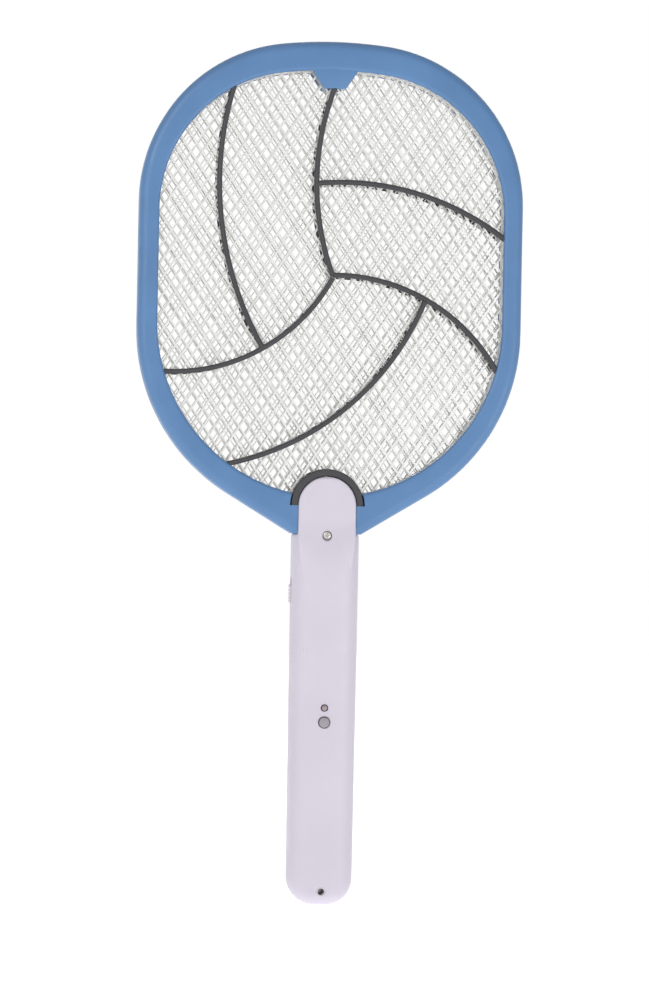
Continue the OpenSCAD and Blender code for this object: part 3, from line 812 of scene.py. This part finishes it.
band = swept_loops([band_loop(*place) for place in frame_section])
front_frame = make_piece("blue_frame_front", *band, material=finishes["blue_plastic"])
box_piece = soften(make_piece("box_tool", *prism(contact_box_outline(0), -9.1, -NET_Y)), 0.7)
stub = box_solid((-12, -5.5, 172), (12, 0, 204))
combine(front_frame, "UNION", mesh_shape(box_piece), stub)
combine(front_frame, "DIFFERENCE",
        prism(tongue_outline(POCKET_R), -20, -5.5),
        prism(arch_outline(ARCH_R + 0.2), -20, -5.5))
back_frame = mirrored(front_frame, "blue_frame_back")
for x, z in screw_spots:
    hole = [(SCREW_HOLE_R, 7.6), (SCREW_HOLE_R, 20)]
    combine(back_frame, "DIFFERENCE", turned_solid(hole, x, z, sides=32))
hand_over(front_frame, "root", "blue_plastic", "front_frame")
hand_over(back_frame, "root", "blue_plastic", "back_frame")

# %% [markdown]
# ## The ribs
# The dark ribs keep fingers off the live net and stiffen the head. They run along circles, so each
# is a domed section carried along an arc. The six are joined, trimmed to the opening, and then
# joined to the flat rim that is clamped under the frame, and to the arch round the tongue.

# %% Rib grids
RIB_HALF = 1.3
RIB_TOP = 9.0
rib_section = [(-RIB_HALF, -NET_Y), (-RIB_HALF, -7.7), (-1.12, -8.35), (-0.7, -8.82), (0, -RIB_TOP),
               (0.7, -8.82), (1.12, -8.35), (RIB_HALF, -7.7), (RIB_HALF, -NET_Y)]
rib_arcs = [
    ((130.9, 377.8), 139.4, 153, 201),
    ((3.7, 231.0), 97.3, 24, 91.5),
    ((-83.3, 371.4), 95.2, -94, -28),
    ((113.4, 377.5), 172.7, 160, 210.5),
    ((7.6, 237.1), 139.7, 50, 96.4),
    ((-82.4, 367.2), 141.5, -84, -21.4),
]


def along_arc(section, centre, r, start, end, step=1.5):
    """A section of (offset outwards, depth) carried along a circle's arc in the head's plane."""
    count = max(2, int(abs(end - start) / step))
    rings = []
    for i in range(count + 1):
        a = math.radians(start + (end - start) * i / count)
        across, up = math.cos(a), math.sin(a)
        rings.append([(centre[0] + (r + u) * across, y, centre[1] + (r + u) * up + butt_z)
                      for u, y in section])
    return skinned_rings(rings)


def ring_solid(outside, inside, front, back):
    """A flat frame between two outlines, with square edges."""
    corners = ((outside, back), (outside, front), (inside, front), (inside, back))
    return swept_loops([at_depth(outline, y) for outline, y in corners])


RIM_EDGE, CLAMPED_EDGE = 1.4, 5.5
arch_section = [(POCKET_R, -NET_Y), (POCKET_R, -8.5), (15.7, -9.05), (16.3, -9.2), (17.9, -9.2),
                (18.6, -9.0), (19.1, -8.3), (19.2, -NET_Y)]
trim = [(0.05, -20), (0.05, -RIM_Y), (2, -RIM_Y), (2, -2)]
front_ribs = make_piece("dark_ribs_front", *along_arc(rib_section, *rib_arcs[0]),
                        material=finishes["charcoal_plastic"])
combine(front_ribs, "UNION", *[along_arc(rib_section, *spec) for spec in rib_arcs[1:]])
combine(front_ribs, "INTERSECT",
        skinned_rings([at_depth(opening_loop(grow), y) for grow, y in trim]))
combine(front_ribs, "UNION",
        ring_solid(opening_loop(CLAMPED_EDGE), opening_loop(RIM_EDGE), -RIM_Y, -NET_Y),
        along_arc(arch_section, (0, TONGUE_Z), 0, 0, 180, 4))
combine(front_ribs, "DIFFERENCE", prism(contact_box_outline(0.1), -20, -2))
back_ribs = mirrored(front_ribs, "dark_ribs_back")
hand_over(front_ribs, "root", "charcoal_plastic", "front_rib_grid")
hand_over(back_ribs, "root", "charcoal_plastic", "back_rib_grid")

# %% [markdown]
# ## The nets
# Each net is expanded metal: a sheet is slit and pulled open, which leaves rows of diamonds whose
# strands all lean the same way. A wireframe modifier on a grid would make round wires instead. So
# the holes are laid out on a grid, and flat strands and joints are stretched between their corners,
# with the lower edge of each hole pushed forward. The sheet is then trimmed to the net's outline.


# %% Expanded metal
def diamond_corners(column, row, pitch, strand, lean):
    """Right, top, left and bottom corner of one hole, as (x, depth, z) from the head's centre."""
    wide, high = pitch
    x = (column + (row % 2) / 2) * wide
    z = row * high / 2
    a = wide / 2 - strand * math.hypot(wide, high) / high / 2
    b = high / 2 - strand * math.hypot(wide, high) / wide / 2
    return [(x + a, 0, z), (x, lean, z + b), (x - a, 0, z), (x, -lean, z - b)]


def expanded_sheet(pitch, strand, lean, thickness, y, outline):
    """A sheet of diamond holes at a depth, wide enough for the outline, as one closed mesh."""
    low_x, high_x = min(p[0] for p in outline), max(p[0] for p in outline)
    low_z, high_z = min(p[1] for p in outline), max(p[1] for p in outline)
    rows = range(int(low_z / pitch[1] * 2) - 1, int(high_z / pitch[1] * 2) + 3)
    columns = range(int(low_x / pitch[0]) - 2, int(high_x / pitch[0]) + 3)
    front, index = [], {}
    for row in rows:
        for column in columns:
            index[column, row] = len(front)
            front += diamond_corners(column, row, pitch, strand, lean)
    quads = []
    for row in rows:
        for column in columns:
            here = index[column, row]
            shift = row % 2
            right = index.get((column + 1, row))
            up_right = index.get((column + shift, row + 1))
            down_right = index.get((column + shift, row - 1))
            up_left = index.get((column - 1 + shift, row + 1))
            if up_right is not None:
                quads.append((here, up_right + 3, up_right + 2, here + 1))
            if up_left is not None:
                quads.append((here + 1, up_left, up_left + 3, here + 2))
            if None not in (right, up_right, down_right):
                quads.append((here, down_right + 1, right + 2, up_right + 3))
    return thick_sheet(front, quads, thickness, y)


def thick_sheet(flat, quads, thickness, y):
    """Gives flat quads a thickness and closes every open edge with a wall."""
    count = len(flat)
    points = [(p[0], y + p[1] + side * thickness / 2, p[2] + butt_z)
              for side in (-1, 1) for p in flat]
    faces = quads + [tuple(i + count for i in quad[::-1]) for quad in quads]
    uses = {}
    for quad in quads:
        for a, b in zip(quad, quad[1:] + quad[:1]):
            uses.setdefault(frozenset((a, b)), []).append((a, b))
    for sides in uses.values():
        if len(sides) == 1:
            a, b = sides[0]
            faces.append((b, a, a + count, b + count))
    return points, faces


def make_net(name, node, grow, pitch, strand, lean, thickness, y, tab):
    """One net: a trimmed sheet with a solid edge and a tab where its lead is soldered."""
    outline = opening_loop(grow)
    front, back = y - thickness / 2, y + thickness / 2
    sheet = expanded_sheet(pitch, strand, lean, thickness, y, outline)
    net = make_piece(name, *sheet, material=finishes["net_metal"])
    combine(net, "INTERSECT", prism(outline, y - 2, y + 2))
    edge = ring_solid(outline, opening_loop(grow - NET_EDGE), front, back)
    solder_tab = box_solid((tab[0], front, 205), (tab[1], back, 210))
    combine(net, "UNION", edge, solder_tab)
    hand_over(net, "root", "net_metal", node)


# %% [markdown]
# The outer nets have wide diamonds and carry the ground side. The live net in the middle is finer
# and a little thicker. Pale spacer rings hold the three apart at the edge.

# %% Nets and spacers
NET_EDGE = 1.4
OUTER_PITCH = (6.2, 9.2)
LIVE_PITCH = (4.6, 6.8)
make_net("outer_net_front", "front_net", 5.1, OUTER_PITCH, 0.82, 0.1, 0.3, -5.4, (-9.4, -3.4))
make_net("outer_net_back", "back_net", 5.1, OUTER_PITCH, 0.82, 0.1, 0.3, 5.4, (-9.4, -6.4))
make_net("live_net_middle", "live_net", 4.1, LIVE_PITCH, 0.62, 0.08, 0.35, 0.0, (2.4, 5.4))

spacers = (("spacer_ring_front", "front_spacer", -5.2, -0.3),
           ("spacer_ring_back", "back_spacer", 0.3, 5.2))
for name, node, near, far in spacers:
    solid = ring_solid(opening_loop(CLAMPED_EDGE), opening_loop(0.2), near, far)
    ring = make_piece(name, *solid, material=finishes["spacer_plastic"])
    hand_over(ring, "root", "spacer_plastic", node)

# %% [markdown]
# ## The handle
# The handle is two shells that meet on the middle plane, with the front one running on as a tongue
# over the neck. Its outline narrows a little towards the butt, its corners are broad, and both ends
# are rounded in two directions at once. That is a loft: half sections, one for each height, skinned
# together. A smaller loft inside is cut away, which leaves walls two millimetres thick.

# %% Handle sections
HANDLE_W, BUTT_W, HANDLE_Y = 35.2, 34.2, 14.0
BUTT_R = 13.8
BUTT_SIDE_R = 7.0
SHELL = 2.0
SQUARENESS = 3.15
NARROW_Z = 168
SHELL_TOP, CAVITY_TOP = 191.6, 191.2
TONGUE_TOP = TONGUE_Z + TONGUE_R
TONGUE_RIM = 1.6
FADE_LOW, FADE_HIGH = 166, 192
FADE_WIDTH, FADE_DEPTH = 3.4, 2.6
ROUND_FROM = 205


def side_depth(z):
    """Half the handle's thickness at a height, easing down towards the tongue."""
    marks = [(0, HANDLE_Y), (NARROW_Z, HANDLE_Y), (176, 13.85), (182, 13.45), (188, 12.75),
             (193, 12.0), (198, 11.35), (206, 11.05), (224, 10.6)]
    for (z0, y0), (z1, y1) in zip(marks, marks[1:]):
        if z <= z1:
            return y0 + (y1 - y0) * (z - z0) / (z1 - z0)
    return marks[-1][1]


def half_size(z, tongue=False):
    """Half width and half thickness of the section at a height."""
    width = BUTT_W / 2 + (HANDLE_W - BUTT_W) / 2 * z / NECK_Z
    depth = side_depth(z)
    if z < BUTT_R:
        width += math.sqrt(BUTT_R**2 - (BUTT_R - z) ** 2) - BUTT_R
    if z < BUTT_SIDE_R:
        depth += math.sqrt(BUTT_SIDE_R**2 - (BUTT_SIDE_R - z) ** 2) - BUTT_SIDE_R
    if tongue:
        width = math.sqrt(max(TONGUE_R**2 - max(z - TONGUE_Z, 0) ** 2, 0.01))
        rim = TONGUE_TOP - z
        if rim < TONGUE_RIM:
            depth += math.sqrt(TONGUE_RIM**2 - (TONGUE_RIM - rim) ** 2) - TONGUE_RIM
    return width, depth


def half_section(width, depth, z, inset=0.0, groove=0.3, points=34):
    """Front half of a squared oval, with a small step at the parting plane."""
    a, b = width - inset, depth - inset
    ring = [(a - groove, 0.0, z + butt_z)] if groove else [(a, 3.0, z + butt_z)]
    for i in range(points + 1):
        t = math.pi * i / points
        c, s = math.cos(t), math.sin(t)
        x = a * math.copysign(abs(c) ** (2 / SQUARENESS), c)
        y = -b * s ** (2 / SQUARENESS)
        if groove and y > -groove:
            y = -groove
        ring.append((x, y, z + butt_z))
    ring.append((-ring[0][0], ring[0][1], z + butt_z))
    return ring


def spread(low, high, steps, power=1.0):
    """Heights between two ends, closer together near the low end when power is above one."""
    return [low + (high - low) * (i / steps) ** power for i in range(steps + 1)]


def shell_heights(low, high, rounded, straight, narrowing):
    """Heights along a shell, with the number of steps in each of its three stretches."""
    return (spread(low, BUTT_R, rounded, 1.8) + spread(BUTT_R, NARROW_Z, straight)[1:]
            + spread(NARROW_Z, high, narrowing)[1:])


def outer_rings():
    rings = [half_section(*half_size(z), z) for z in shell_heights(0, SHELL_TOP, 16, 10, 12)]
    width, depth = half_size(NECK_Z)
    for rise, draw in ((0.9, 0.2), (1.4, 0.6), (1.7, 1.2)):
        rings.append(half_section(width - draw, depth - draw * 0.3, SHELL_TOP + rise))
    return rings


def inner_rings():
    """The cavity: the same loft, a wall's thickness smaller and pushed past the parting plane."""
    rings = []
    for z in shell_heights(SHELL, CAVITY_TOP, 12, 8, 8):
        width, depth = half_size(z)
        if z < BUTT_R:
            r = BUTT_R - SHELL
            width = BUTT_W / 2 - BUTT_R + math.sqrt(max(r**2 - (BUTT_R - z) ** 2, 0)) + SHELL
        if z < BUTT_SIDE_R:
            r = BUTT_SIDE_R - SHELL
            depth = HANDLE_Y - BUTT_SIDE_R + math.sqrt(max(r**2 - (BUTT_SIDE_R - z) ** 2, 0)) + SHELL
        rings.append(half_section(width, depth, z, SHELL, groove=0.0))
    return rings


def tongue_section(z, crown=0.45, steps=8):
    """Straight sides, small round corners and a slightly domed face; it fades into the handle."""
    width, depth = half_size(z, tongue=True)
    sink = max(0, (FADE_HIGH - z) / (FADE_HIGH - FADE_LOW)) ** 1.5
    width, depth = width - FADE_WIDTH * sink, depth - FADE_DEPTH * sink
    r = min(1.3, width * 0.8)
    swell = crown * width / TONGUE_R
    turns = [math.radians(80 * i / steps) for i in range(steps + 1)]
    side = [(width - r + r * math.cos(a), -(depth - swell - r) - r * math.sin(a)) for a in turns]
    edge_x, edge_y = side[-1]
    shares = [1 - i / steps for i in range(1, steps + 1)]
    face = [(edge_x * left, edge_y + (edge_y + depth) * (left**2 - 1)) for left in shares]
    half = [(width, 0.0)] + side + face
    return [(x, y, z + butt_z) for x, y in half + [(-x, y) for x, y in half[-2::-1]]]


def tongue_rings():
    heights = spread(FADE_LOW, FADE_HIGH, 14) + spread(FADE_HIGH, ROUND_FROM, 6)[1:]
    below_top = spread(0.05, TONGUE_TOP - ROUND_FROM, 16, 1.9)
    heights += [TONGUE_TOP - h for h in below_top[-2::-1]]
    return [tongue_section(z) for z in heights]


print("handle is", round(2 * half_size(120)[0], 1), "mm wide and", 2 * half_size(120)[1], "mm thick")

# %% [markdown]
# The front shell takes the tongue, the round holes for the button and the indicator, the slot for
# the side switch and a sunk screw at the neck. Screw posts stand inside both shells. Holes are
# turned profiles, so a small funnel at the mouth softens each edge in the same cut.

# %% Front shell
BUTTON_Z, BUTTON_R = 95.5, 2.7
LED_Z = 103.0
SLOT_Z = 163.5
SCREW_Z = 192.5
HOLE_Z, HOLE_R, EYELET_R = 7.5, 1.7, 2.5
back_screw_spots = [(0, 15.2), (8.5, 132.4), (-8.5, 132.4)]


def drilled(x, z, r, near, surface, soft, beyond=4.0):
    """A round hole along Y from near out through a surface, with a softened mouth."""
    way = 1 if surface > near else -1
    profile = [(r, near), (r, surface - way * soft * 1.2),
               (r + soft * 0.3, surface - way * soft * 0.5), (r + soft, surface + way * 0.05),
               (r + soft + beyond * 0.6, surface + way * beyond)]
    return turned_solid(profile, x, z)


def post(x, z, r, near, far):
    return turned_solid([(r, near), (r, far)], x, z, sides=32)


def side_outline(x, half, low, high, r):
    """A rounded box on the handle's side, at a place in X, about the middle of the slot."""
    return [(x, y, z + SLOT_Z + butt_z) for y, z in rounded_box(half, low, high, r)]


def slot_cut():
    """The side switch's slot with rounded ends, cut through both shells on the left."""
    return skinned_rings([side_outline(x, 3.3, -6.8, 6.8, 1.0) for x in (-20, -14.8)])


def shell_half(name):
    """Outer loft less the cavity, with the posts that both shells have."""
    shell = make_piece(name, *skinned_rings(outer_rings()), material=finishes["lavender_plastic"])
    combine(shell, "DIFFERENCE", skinned_rings(inner_rings()))
    combine(shell, "UNION", post(0, HOLE_Z, EYELET_R + 1.7, -13, -0.05))
    combine(shell, "UNION", *[post(x, z, 2.9, -13, -0.05) for x, z in back_screw_spots])
    combine(shell, "DIFFERENCE", box_solid((-12.3, -5.6, 185), (12.3, 1, 200)), slot_cut())
    combine(shell, "DIFFERENCE", drilled(0, HOLE_Z, EYELET_R, 1, -HANDLE_Y, soft=0.15))
    return shell


front_shell = shell_half("handle_shell_front")
back_shell = mirrored(front_shell, "handle_shell_back")
tongue = make_piece("tongue_tool", *skinned_rings(tongue_rings()))
combine(tongue, "DIFFERENCE", box_solid((-20, -5.6, 180), (20, 3, 230)),
        skinned_rings(inner_rings()))
back_tongue = mirrored(tongue, "back_tongue_tool")
combine(front_shell, "UNION", mesh_shape(tongue), post(0, SCREW_Z, 3.4, -11, -5.6))
combine(front_shell, "DIFFERENCE",
        drilled(0, BUTTON_Z, BUTTON_R + 0.3, -10, -HANDLE_Y, soft=0.5),
        drilled(0, LED_Z, 1.85, -10, -HANDLE_Y, soft=0.3),
        drilled(0, SCREW_Z, 2.5, -10, -side_depth(SCREW_Z), soft=0.4),
        post(0, SCREW_Z, 1.35, -20, 1))
hand_over(front_shell, "root", "lavender_plastic", "handle_front")

# %% [markdown]
# The back shell has the same tongue, three sunk screws and the opening for the battery door. The
# door is a window cut from the same loft, a little smaller than its opening. Its upper edge is
# rolled, two tabs hook under the shell, and five grooves give the thumb a grip.

# %% Back shell and battery door
DOOR_LOW, DOOR_HIGH, DOOR_HALF = 22.0, 125.0, 10.5
GAP = 0.3
ROLL_R, ROLL_Y, ROLL_Z = 0.98, 13.0, 123.7
WINDOW_NEAR, WINDOW_FAR = 8.0, 18.0
TABS_X, TAB_WIDE = (-8.2, 5.2), 3


def back_shape(rings):
    """Front half-rings turned to the back."""
    return skinned_rings([[(x, -y, z) for x, y, z in ring] for ring in rings])


combine(back_shell, "UNION", mesh_shape(back_tongue), post(0, SCREW_Z, 3.4, 5.6, 11))
combine(back_shell, "DIFFERENCE",
        box_solid((-DOOR_HALF, 5, DOOR_LOW), (DOOR_HALF, 20, DOOR_HIGH)),
        *[drilled(x, z, 2.4, 11.2, HANDLE_Y - 0.02 * abs(x), soft=0.4)
          for x, z in back_screw_spots])
hand_over(back_shell, "root", "lavender_plastic", "handle_back")

door = make_piece("battery_door_panel", *back_shape(outer_rings()),
                  material=finishes["lavender_plastic"])
combine(door, "DIFFERENCE", back_shape(inner_rings()))
half = DOOR_HALF - GAP
window = arc(ROLL_Y, ROLL_Z, ROLL_R, 0, 180, 15)
window += [(WINDOW_NEAR, ROLL_Z), (WINDOW_NEAR, DOOR_LOW + GAP), (WINDOW_FAR, DOOR_LOW + GAP),
           (WINDOW_FAR, ROLL_Z)]
combine(door, "INTERSECT",
        skinned_rings([[(x, y, z + butt_z) for y, z in window] for x in (-half, half)]))
for low, high, far in ((121, 123.2, 12.3), (122, 126.8, 11.6)):
    combine(door, "UNION",
            *[box_solid((x, 10, low), (x + TAB_WIDE, far, high)) for x in TABS_X])
combine(door, "UNION", box_solid((-3, 9.8, 22.4), (3, 12.2, 23.8)))


def grip_groove(z):
    """A shallow groove across the door, round in section and at both ends."""
    end = [(0.05, 5.6), (0.55, 5.3), (0.85, 4.9), (0.95, 4.4)]
    profile = [(r, -x) for r, x in end] + end[::-1]
    return skinned_rings(turned(profile, (0, HANDLE_Y + 0.45, z + butt_z), along="X", sides=24))


combine(door, "DIFFERENCE", *[grip_groove(29 + 2.4 * i) for i in range(5)])
hand_over(door, "battery_door", "lavender_plastic", "battery_door")

# %% [markdown]
# ## Screws and the eyelet
# Cross-head screws are turned: a shank, a head with a soft rim and a low dome. The cross is one
# prism cut in from the top. A pale grey eyelet lines the hanging hole, so a cord doesn't chafe.


# %% Screws and eyelet
def cross_outline(reach, arm):
    quarter = [(arm, arm), (reach, arm), (reach, -arm)]
    outline = []
    for _ in range(4):
        outline += quarter
        quarter = [(v, -u) for u, v in quarter]
    return outline


def screw_shape(x, z, shank, head, tip, neck, top):
    """A screw along Y; the head is at top, on the side away from tip."""
    way = 1 if top > tip else -1
    profile = [(0.3, tip), (shank, tip + way), (shank, neck), (head * 0.97, neck),
               (head, neck + way * 0.25), (head * 0.97, top - way * 0.45),
               (head * 0.8, top - way * 0.12), (head * 0.4, top), (0.05, top)]
    piece = make_piece("screw_tool", *turned_solid(profile, x, z, sides=40))
    cross = [(x + u, z + v) for u, v in cross_outline(head * 0.62, 0.28)]
    combine(piece, "DIFFERENCE", prism(cross, top - way * 0.75, top + way))
    return mesh_shape(piece)


def joined(name, material, shapes):
    """One piece out of several separate shapes."""
    points, faces = [], []
    for more_points, more_faces in shapes:
        start = len(points)
        points += more_points
        faces += [tuple(i + start for i in face) for face in more_faces]
    return make_piece(name, points, faces, material)


frame_screws = joined("head_screws", finishes["screw_metal"],
                      [screw_shape(x, z, 0.8, 1.9, -5.6, 7.6, 9.0) for x, z in screw_spots])
hand_over(frame_screws, "root", "screw_metal", "frame_screws")
handle_screws = joined("handle_screw_set", finishes["screw_metal"],
                       [screw_shape(0, SCREW_Z, 1.3, 2.3, 9.4, -10, -11.2)]
                       + [screw_shape(x, z, 1.0, 2.2, -10.5, 11.2, 12.6) for x, z in back_screw_spots])
hand_over(handle_screws, "root", "screw_metal", "handle_screws")

eyelet_section = [(EYELET_R, -HANDLE_Y + 0.2), (EYELET_R - 0.15, -HANDLE_Y),
                  (HOLE_R + 0.15, -HANDLE_Y), (HOLE_R, -HANDLE_Y + 0.3)]
eyelet_section += [(r, -y) for r, y in eyelet_section[::-1]]
turns = [2 * math.pi * k / 40 for k in range(40)]
around_hole = [[(r * math.cos(a), y, HOLE_Z + butt_z + r * math.sin(a)) for a in turns]
               for r, y in eyelet_section]
eyelet = make_piece("hanging_hole_eyelet", *swept_loops(around_hole),
                    material=finishes["eyelet_plastic"])
hand_over(eyelet, "root", "grey_plastic", "hanging_eyelet")

# %% [markdown]
# ## Controls
# The push button is a grey mushroom with a domed top and a recess underneath for its spring. The
# indicator is a smoky dome on a collar. Both are turned profiles. The side switch is a lofted
# thumb piece on a flat skirt, with four grooves cut across it for grip.

# %% Button, indicator and side switch
STEM_R, RECESS_R, FLANGE_R = 1.2, 2.45, 3.8
CAP_EDGE = -14.5
button_profile = [(STEM_R, -8.1), (STEM_R, -12.4), (RECESS_R, -12.4), (RECESS_R, -11.1),
                  (FLANGE_R, -11.1), (FLANGE_R, -11.7), (BUTTON_R, -11.7), (BUTTON_R, CAP_EDGE)]
for a in map(math.radians, (25, 45, 65, 90)):
    button_profile.append((BUTTON_R - 0.8 * (1 - math.cos(a)), CAP_EDGE - 0.65 * math.sin(a)))
button_profile += [(1.3, -15.25), (0.6, -15.3), (0.05, -15.3)]
button = make_piece("push_button_cap", *turned_solid(button_profile, 0, BUTTON_Z),
                    material=finishes["grey_plastic"])
hand_over(button, "push_button", "grey_plastic", "push_button")

LENS_R, DOME_Y = 1.5, -14.0
lens_profile = [(1.8, -9.0), (1.8, -9.8), (LENS_R, -9.9), (LENS_R, DOME_Y)]
for a in map(math.radians, range(10, 90, 10)):
    lens_profile.append((LENS_R * math.cos(a), DOME_Y - LENS_R * math.sin(a)))
lens_profile += [(0.03, DOME_Y - LENS_R)]
lens = make_piece("indicator_lens", *turned_solid(lens_profile, 0, LED_Z),
                  material=finishes["lens"])
hand_over(lens, "root", "lens", "indicator_light")

THUMB_TOP = -18.5
thumb_steps = ((-15.0, 0), (-18.0, 0), (-18.25, -0.08), (-18.42, -0.25), (THUMB_TOP, -0.55))
thumb_rings = [side_outline(x, 3.0 + grow, -6.5 - grow, 3.1 + grow, 0.9) for x, grow in thumb_steps]
slider = make_piece("side_switch_thumb_piece", *skinned_rings(thumb_rings),
                    material=finishes["lavender_plastic"])
combine(slider, "UNION",
        box_solid((-15.2, -4.4, SLOT_Z - 10.4), (-14.5, 4.4, SLOT_Z + 8)),
        box_solid((-14.6, -1, SLOT_Z - 3), (-11.2, 1, SLOT_Z)))
ridge_cut = [(0.55, -0.1), (0.3, 0.35), (-0.3, 0.35), (-0.55, -0.1)]
for i in range(4):
    z = SLOT_Z - 4.8 + 2 * i
    rings = [[(THUMB_TOP + d, y, z + u + butt_z) for u, d in ridge_cut] for y in (-4, 4)]
    combine(slider, "DIFFERENCE", skinned_rings(rings))
hand_over(slider, "switch_slider", "lavender_plastic", "switch_slider")

# %% [markdown]
# ## Cells and spring
# Two cells lie in the tray and show when the door is open. A cell is turned, with a crimped
# shoulder and a nub, and only its side carries the film. The spring is a wire swept along a
# helix that flattens out at both ends.

# %% Cells
CELL_R, CELL_L, CELL_Y, CELL_NUB_R = 7.1, 50.5, 3.4, 2.7
FILM_EDGE_R = 6.6
cell_profile = [(4.5, 0.0), (6.3, 0.0), (6.7, 0.35), (CELL_R, 0.8), (CELL_R, 48.6), (6.85, 49.1),
                (6.4, 49.35), (5.9, 49.2), (5.4, 49.35), (CELL_NUB_R + 0.2, 49.35),
                (CELL_NUB_R, 49.5), (CELL_NUB_R, 50.2), (2.3, CELL_L), (0.4, CELL_L)]


def make_cell(name, node):
    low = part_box(node)[0].z / MM
    rings = turned(cell_profile, (0, CELL_Y, low), along="Z", sides=64)
    cell = make_piece(name, *skinned_rings(rings), material=finishes["cell_wrap"])
    cell.data.materials.append(finishes["spring_steel"])
    for face in cell.data.polygons:
        out = math.hypot(face.center.x, face.center.y - CELL_Y * MM)
        face.material_index = 0 if out > FILM_EDGE_R * MM else 1
    hand_over(cell, "root", "cell_wrap", node)


make_cell("cell_lower", "lower_cell")
make_cell("cell_upper", "upper_cell")


# %% Springs
def wire(path, r, sides=12):
    """Rings of a round wire along a path, turned so that they don't twist."""
    rings = []
    side = Vector((1, 0, 0))
    turns = [2 * math.pi * k / sides for k in range(sides)]
    for i, p in enumerate(path):
        before, after = path[max(i - 1, 0)], path[min(i + 1, len(path) - 1)]
        heading = (Vector(after) - Vector(before)).normalized()
        side = (side - heading * side.dot(heading)).normalized()
        up = heading.cross(side)
        spokes = [math.cos(a) * side + math.sin(a) * up for a in turns]
        rings.append([tuple(Vector(p) + r * spoke) for spoke in spokes])
    return skinned_rings(rings)


def coil(centre, r, turns, height, steps=28):
    """A compression spring's centre line, with its end turns closed up."""
    path = []
    for i in range(turns * steps + 1):
        share = i / (turns * steps)
        rise = height * (share - 0.09 * math.sin(2 * math.pi * share))
        a = 2 * math.pi * turns * share
        u, v = r * math.cos(a), r * math.sin(a)
        path.append((centre[0] + u, centre[1] + v, centre[2] + rise))
    return path


spring_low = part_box("battery_spring")[0].z / MM
plate_z = spring_low - butt_z
spring_shapes = [wire(coil((0, CELL_Y, spring_low + 0.75), 3.2, 4, 3.5), 0.3),
                 box_solid((-4.5, CELL_Y - 4.5, plate_z), (4.5, CELL_Y + 4.5, plate_z + 0.4))]
spring = joined("battery_spring_wire", finishes["spring_steel"], spring_shapes)
hand_over(spring, "root", "spring_steel", "battery_spring")

# %% [markdown]
# ## What stays from the engineering model
# The circuit, its leads and the tray have the right shape already, and show only when the door is
# open. They keep their meshes and take finishes from the list above.

# %% Finishes for the kept parts
kept_parts = {
    "net_link": "net_metal",
    "battery_tray": "tray_plastic",
    "battery_plate": "spring_steel",
    "button_spring": "spring_steel",
    "momentary_switch": "black_plastic",
    "button_board": "board_green",
    "slide_switch": "screw_metal",
    "circuit_board": "board_green",
    "board_screws": "screw_metal",
    "transformer_core": "ferrite",
    "transformer_winding": "winding_tape",
    "power_transistor": "black_plastic",
    "rectifier_diodes": "black_plastic",
    "discharge_resistors": "resistor_body",
    "storage_capacitor": "capacitor_body",
    "red_lead": "red_insulation",
    "black_lead": "black_insulation",
    "live_lead": "red_insulation",
    "ground_lead": "black_insulation",
}
for node, finish in kept_parts.items():
    for place in nodes[node].material_slots:
        place.material = finishes[finish]
left_over = sorted(n for n, o in nodes.items() if not o.hide_render and n not in kept_parts)
print("kept parts:", len(kept_parts), "without a finish:", left_over)
